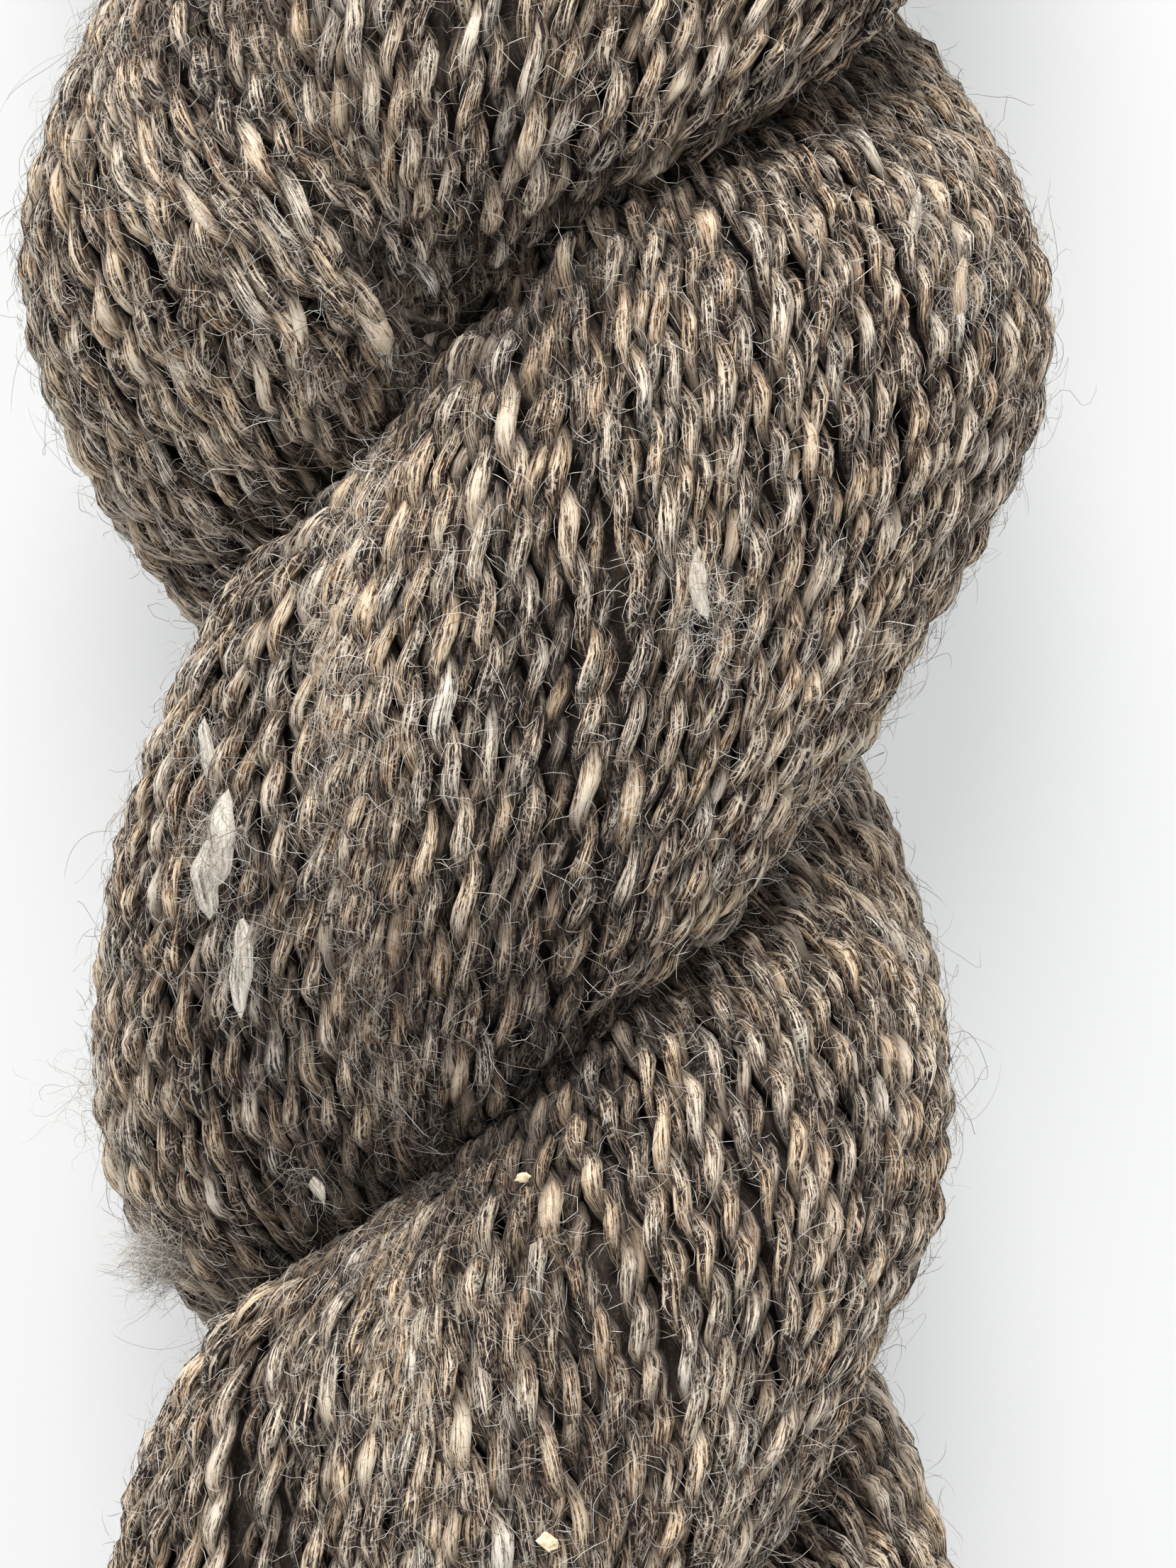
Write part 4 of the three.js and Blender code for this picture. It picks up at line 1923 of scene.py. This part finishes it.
class Streaks(Effect):
    """The fibres along a ply: masks of its locks, fine fibres and slanting ones, and their height."""

    name = "fibre_streaks"
    inputs = {
        "Strand": "NodeSocketVector",
        "Length": "NodeSocketFloat",
        "Coarse": "NodeSocketFloat",
        "Fine": "NodeSocketFloat",
    }
    outputs = ("Locks", "Fibres", "Slanting", "Height")
    kinds = (
        StreakKind("Coarse", 1.0, 2.0, 0.0),
        StreakKind("Fine", 1.0, 3.0, 0.0),
        StreakKind("Fine", 1.1, 0.0, 0.5),
        StreakKind("Fine", 1.1, 0.0, -0.65),
    )
    roughness = 0.65
    pale_start = 0.62
    dark_start = 0.36
    slanting_gain = 7.0
    lock_height = 0.5
    fibre_height = 0.8
    slanting_height = 0.3

    def results(self, nodes: Nodes, given: bpy.types.NodeOutputs) -> dict[str, Socket]:
        """Works out the masks and the height.

        Args:
            nodes: The group's nodes.
            given: What the group is given.

        Returns:
            The outputs' values by name.
        """
        along = nodes.parts(given["Strand"])[0]
        masks = []
        for kind in self.kinds:
            scale = nodes.add("ShaderNodeCombineXYZ")
            nodes.feed(scale.inputs[0], nodes.math("MULTIPLY", given["Length"], kind.stretch))
            nodes.feed(scale.inputs[1], given[kind.width])
            nodes.feed(scale.inputs[2], given[kind.width])
            leaned = nodes.turned(given["Strand"], "X", nodes.math("MULTIPLY", along, kind.slant))
            place = nodes.add("ShaderNodeVectorMath", operation="MULTIPLY")
            nodes.feed(place.inputs[0], leaned)
            nodes.feed(place.inputs[1], scale.outputs[0])
            masks.append(
                nodes.noise(place.outputs[0], Scale=1.0, Detail=kind.detail, Roughness=self.roughness)
            )
        locks, fibres, *crossing = masks
        pale = nodes.stretched(nodes.math("MAXIMUM", *crossing), self.pale_start, self.slanting_gain, True)
        dark = nodes.stretched(self.dark_start, nodes.math("MINIMUM", *crossing), self.slanting_gain, True)
        slanting = nodes.math("SUBTRACT", pale, dark)
        lock_height = nodes.math("MULTIPLY", locks, self.lock_height)
        fibre_height = nodes.math("MULTIPLY", fibres, self.fibre_height)
        slanting_height = nodes.math("MULTIPLY", slanting, self.slanting_height)
        height = nodes.math("ADD", nodes.math("ADD", lock_height, fibre_height), slanting_height)
        return {"Locks": locks, "Fibres": fibres, "Slanting": slanting, "Height": height}


@dataclass(frozen=True)
class Finish:
    """A matt woollen finish."""

    name: str
    roughness: float = 0.85
    specular: float = 0.3
    sheen: float = 0.03
    sheen_roughness: float = 0.5

    def with_strays(self, nodes: Nodes, colour: Socket, amount: float, stray: object) -> Socket:
        """A colour with stray fibres drawn over it.

        Args:
            nodes: The material's nodes.
            colour: The colour under the fibres.
            amount: How strongly they show, from 0 to 1.
            stray: Their colour, or its socket.

        Returns:
            The mixed colour.
        """
        strays = nodes.add("ShaderNodeGroup", node_tree=Strays().group())
        nodes.feed(strays.inputs["Place"], nodes.object_place())
        return nodes.mix(nodes.math("MULTIPLY", strays.outputs["Lines"], amount), colour, stray)

    def build(self) -> bpy.types.Material:
        """Makes the material.

        Returns:
            The new material.
        """
        material = bpy.data.materials.new(self.name)
        material.use_nodes = True
        shader = material.node_tree.nodes["Principled BSDF"]
        shader.inputs["Roughness"].default_value = self.roughness
        shader.inputs["Specular IOR Level"].default_value = self.specular
        shader.inputs["Sheen Weight"].default_value = self.sheen
        shader.inputs["Sheen Roughness"].default_value = self.sheen_roughness
        self.dress(Nodes(material.node_tree), shader)
        return material

    def dress(self, nodes: Nodes, shader: bpy.types.Node) -> None:
        """Gives the shader its colour and bumps, which each finish works out."""
        raise NotImplementedError


DARK_BLEND = (
    (0.08, srgb(29, 18, 14)),
    (0.26, srgb(63, 45, 35)),
    (0.43, srgb(111, 88, 70)),
    (0.60, srgb(171, 142, 112)),
    (0.80, srgb(214, 185, 150)),
    (1.00, srgb(232, 211, 182)),
)
GREY_BLEND = (
    (0.08, srgb(21, 20, 21)),
    (0.26, srgb(55, 50, 48)),
    (0.43, srgb(106, 99, 94)),
    (0.60, srgb(164, 154, 142)),
    (0.80, srgb(208, 198, 184)),
    (1.00, srgb(234, 227, 214)),
)
# Painted shade, from deep between the plies and yarns up to full light.
DEPTH_SHADE = (
    (0.25, (0.12, 0.105, 0.1)),
    (0.55, (0.31, 0.29, 0.28)),
    (0.75, (0.66, 0.64, 0.63)),
    (0.92, (1.0, 1.0, 1.0)),
)
# Colour of the stray lines with painted shade, darker deep between the yarns.
STRAY_SHADE_BLEND = (
    (0.25, srgb(96, 88, 79)),
    (0.55, srgb(136, 127, 116)),
    (0.75, srgb(180, 170, 155)),
    (0.92, srgb(212, 202, 186)),
)
LOOSE_BLEND = (
    (0.00, srgb(44, 35, 31)),
    (0.40, srgb(128, 112, 97)),
    (0.75, srgb(206, 196, 182)),
    (1.00, srgb(248, 245, 238)),
)
LIT_SHADE = ((0.0, (0.02, 0.02, 0.02)), (1.0, (1.0, 1.0, 1.0)))
# The core's dark colours and its stray lines' colour are painted shade over the inner yarn's mottling.
CORE_SHADE_BLEND = ((0.3, srgb(30, 25, 23)), (0.6, srgb(66, 55, 48)), (0.8, srgb(112, 96, 80)))
CORE_STRAY_SHADED = (*srgb(120, 110, 98), 1)
CHAFF_BLEND = ((0.3, srgb(206, 182, 138)), (0.55, srgb(236, 222, 190)), (0.8, srgb(248, 242, 226)))


@dataclass(frozen=True)
class YarnFinish(Finish):
    """Heathered alpaca: each ply's blend of dark, tan, cream and grey fibres, with its fine streaks."""

    streak_length: float = 0.3
    lock_width: float = 1.5
    fibre_width: float = 5.5
    lock_contrast: float = 1.8
    fibre_contrast: float = 5.0
    darkest_fibre: float = -0.28
    slanting: float = 0.16
    strays: float = 0.75
    deepest: float = 2.0
    depth_span: float = 3.6
    bump: float = 0.5
    bump_height: float = 0.06

    def dress(self, nodes: Nodes, shader: bpy.types.Node) -> None:
        """Draws the streaks on the blend, and darkens it with painted shade by its depth between the yarns.

        Args:
            nodes: The material's nodes.
            shader: The material's shader.
        """
        tone, grey, height = nodes.parts(nodes.attribute("blend"))
        streaks = nodes.add("ShaderNodeGroup", node_tree=Streaks().group())
        nodes.feed(streaks.inputs["Strand"], nodes.attribute("fibre"))
        nodes.feed(streaks.inputs["Length"], self.streak_length)
        nodes.feed(streaks.inputs["Coarse"], self.lock_width)
        nodes.feed(streaks.inputs["Fine"], self.fibre_width)
        drawn = streaks.outputs
        locks = nodes.stretched(drawn["Locks"], NOISE_MIDDLE, self.lock_contrast)
        fine = nodes.stretched(drawn["Fibres"], NOISE_MIDDLE, self.fibre_contrast)
        fine = nodes.math("MAXIMUM", fine, self.darkest_fibre)
        slanting = nodes.math("MULTIPLY", drawn["Slanting"], self.slanting)
        light = nodes.math("ADD", nodes.math("ADD", tone, slanting), nodes.math("ADD", locks, fine))
        colour = nodes.mix(grey, nodes.ramp(light, DARK_BLEND), nodes.ramp(light, GREY_BLEND))
        # Painted shade from the blend's third value darkens the colour and the stray lines.
        raised = nodes.math("ADD", height, self.deepest)
        depth = nodes.math("DIVIDE", raised, self.depth_span, clamp=True)
        shaded = nodes.mix(1.0, colour, nodes.ramp(depth, DEPTH_SHADE), "MULTIPLY")
        stray = nodes.ramp(depth, STRAY_SHADE_BLEND)
        nodes.feed(shader.inputs["Base Color"], self.with_strays(nodes, shaded, self.strays, stray))
        nodes.raised(shader, drawn["Height"], self.bump_height, self.bump)


@dataclass(frozen=True)
class FibreFinish(Finish):
    """Single loose fibres, from near white to dark brown."""

    def dress(self, nodes: Nodes, shader: bpy.types.Node) -> None:
        """Colours each fibre by its paleness, darkened by its painted shade.

        Args:
            nodes: The material's nodes.
            shader: The material's shader.
        """
        pale, _, lit = nodes.parts(nodes.attribute("blend"))
        colour = nodes.mix(1.0, nodes.ramp(pale, LOOSE_BLEND), nodes.ramp(lit, LIT_SHADE), "MULTIPLY")
        nodes.feed(shader.inputs["Base Color"], colour)


@dataclass(frozen=True)
class CoreFinish(Finish):
    """The yarn inside the hank, fibrous, in dark colours that are painted shade."""

    scale: tuple[float, float, float] = (900, 160, 900)
    detail: float = 3.0
    strays: float = 0.5
    bump: float = 1.0
    bump_height: float = 0.3

    def dress(self, nodes: Nodes, shader: bpy.types.Node) -> None:
        """Draws fibres that run along the hank, in dark colours that are painted shade.

        Args:
            nodes: The material's nodes.
            shader: The material's shader.
        """
        cloud = nodes.noise(nodes.mapped(nodes.object_place(), self.scale), Scale=1.0, Detail=self.detail)
        base = nodes.ramp(cloud, CORE_SHADE_BLEND)
        nodes.feed(shader.inputs["Base Color"], self.with_strays(nodes, base, self.strays, CORE_STRAY_SHADED))
        nodes.raised(shader, cloud, self.bump_height, self.bump)


@dataclass(frozen=True)
class ChaffFinish(Finish):
    """Dry cream chaff."""

    scale: float = 2600.0

    def dress(self, nodes: Nodes, shader: bpy.types.Node) -> None:
        """Mottles the flakes."""
        cloud = nodes.noise(nodes.object_place(), Scale=self.scale)
        nodes.feed(shader.inputs["Base Color"], nodes.ramp(cloud, CHAFF_BLEND))


@dataclass
class Core:
    """The wound mass under the outer yarns: the solid's own form, drawn in."""

    form: HankForm
    drawn_in: float = 3.0
    seam_gain: float = 2.2
    least: float = 0.5
    merge: float = 0.01
    floor_gap: float = 0.4

    def build(self, material: bpy.types.Material) -> bpy.types.Object:
        """Builds the core, drawn in least in the seams.

        Args:
            material: Its finish.

        Returns:
            The core's object.
        """
        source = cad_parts[NODE]
        mass = bmesh.new()
        mass.from_mesh(source.data)
        bmesh.ops.transform(mass, matrix=source.matrix_world, verts=mass.verts)
        bmesh.ops.remove_doubles(mass, verts=mass.verts, dist=self.merge * METRES)
        mass.normal_update()
        places = np.array([v.co[:] for v in mass.verts]) / METRES
        drawn = np.maximum(self.drawn_in - self.seam_gain * self.form.seam_shade(places), self.least)
        moves = [v.normal * float(amount) * METRES for v, amount in zip(mass.verts, drawn)]
        for vert, move in zip(mass.verts, moves):
            vert.co -= move
            vert.co.z = max(vert.co.z, self.floor_gap * METRES)
        for face in mass.faces:
            face.smooth = True
        return shaped_piece("hank_core", mass, material)


@dataclass
class Studio:
    """Pale floor, soft light and the camera over the hank."""

    view: PhotoView
    floor_size: float = 6.0
    floor_colour: Colour = (0.39, 0.393, 0.388)
    floor_roughness: float = 0.9
    floor_specular: float = 0.1
    glow_colour: Colour = (0.95, 0.965, 0.975)
    glow: float = 0.488
    sky_colour: Colour = (0.96, 0.98, 1.0)
    sky: float = 0.77
    lamp_place: tuple[float, float, float] = (-0.1, 0.82, 0.83)
    lamp_size: float = 0.6
    lamp_power: float = 13.5
    lamp_colour: Colour = (1.0, 0.985, 0.96)
    clip_start: float = 0.01

    def build_floor(self) -> None:
        """Lays the floor, which isn't part of the object."""
        material = bpy.data.materials.new("pale floor")
        material.use_nodes = True
        inputs = material.node_tree.nodes["Principled BSDF"].inputs
        inputs["Base Color"].default_value = (*self.floor_colour, 1)
        inputs["Roughness"].default_value = self.floor_roughness
        inputs["Specular IOR Level"].default_value = self.floor_specular
        inputs["Emission Color"].default_value = (*self.glow_colour, 1)
        inputs["Emission Strength"].default_value = self.glow
        plane = bmesh.new()
        bmesh.ops.create_grid(plane, x_segments=2, y_segments=2, size=self.floor_size / 2)
        shaped_piece("floor", plane, material)

    def build_light(self) -> None:
        """Sets a bright even sky and one large soft lamp."""
        scene = bpy.context.scene
        world = bpy.data.worlds.new("soft sky")
        world.use_nodes = True
        background = world.node_tree.nodes["Background"]
        background.inputs["Color"].default_value = (*self.sky_colour, 1)
        background.inputs["Strength"].default_value = self.sky
        scene.world = world
        lamp = bpy.data.lights.new("soft lamp", "AREA")
        lamp.shape = "DISK"
        lamp.size = self.lamp_size
        lamp.energy = self.lamp_power
        lamp.color = self.lamp_colour
        holder = bpy.data.objects.new("soft lamp", lamp)
        holder.location = self.lamp_place
        holder.rotation_euler = (-holder.location).to_track_quat("-Z", "Y").to_euler()
        scene.collection.objects.link(holder)
        scene.view_settings.view_transform = "Standard"

    def build_camera(self) -> None:
        """Sets the camera straight above, framed as the picture is."""
        view = self.view
        lens = bpy.data.cameras.new("camera")
        lens.sensor_width = view.sensor
        lens.lens = view.sensor * view.distance / (view.height * view.pixel)
        lens.clip_start = self.clip_start
        camera = bpy.data.objects.new("camera", lens)
        height = view.distance + view.sharp_height
        camera.location = Vector((view.centre_x, view.centre_y, height)) * METRES
        bpy.context.scene.collection.objects.link(camera)
        bpy.context.scene.camera = camera


def on_body(piece: bpy.types.Object, replaces: bool = False) -> None:
    """Makes a piece ride on the hank's body, and hides the solid's part when the piece stands for it.

    Args:
        piece: The piece.
        replaces: Whether it stands for the solid.
    """
    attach(piece, BODY)
    if replaces:
        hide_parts(NODE)
    triangles = sum(len(p.vertices) - 2 for p in piece.data.polygons)
    LOG.info("%s: %d triangles", piece.name, triangles)


def main() -> None:
    """Builds the hank and its studio."""
    logging.basicConfig(level=logging.INFO, format="%(name)s %(message)s")
    rng = np.random.default_rng(SEED)
    form, view = HankForm(), PhotoView()
    studio = Studio(view)
    studio.build_floor()
    studio.build_light()
    studio.build_camera()
    paths = Winder(form, view, rng).wind()
    total = sum(step_lengths(path.points).sum() for path in paths)
    LOG.info("%d yarns, %.1f m", len(paths), total * METRES)
    spinner = Spinner(rng)
    yarn_finish = YarnFinish("heathered yarn").build()
    for region in Region:
        batch = TubeBatch()
        for path in (path for path in paths if path.region is region):
            spinner.spin(path, batch)
        on_body(batch.build(region.piece, yarn_finish), replaces=True)
    slubs = Slubs(form, view)
    fleece = YarnFinish("pale fleece", lock_contrast=0.9, fibre_contrast=2.4, slanting=0.15, strays=0.4)
    on_body(slubs.build(fleece.build(), paths))
    halo = Halo(paths, form, rng)
    fibre_finish = FibreFinish("loose fibre", roughness=0.6).build()
    for kind in FIBRE_KINDS:
        batch = TubeBatch()
        halo.grow(kind, batch)
        on_body(batch.build(f"hank_{kind.name}", fibre_finish))
    wisps = TubeBatch()
    for tuft in (*TUFTS, *slubs.wisps()):
        halo.tuft(tuft, view, wisps)
    on_body(wisps.build("hank_tufts", fibre_finish))
    on_body(Specks(form, view, rng).build(ChaffFinish("pale chaff").build()))
    on_body(Core(form).build(CoreFinish("inner yarn").build()), replaces=True)


if __name__ == "__main__":
    main()
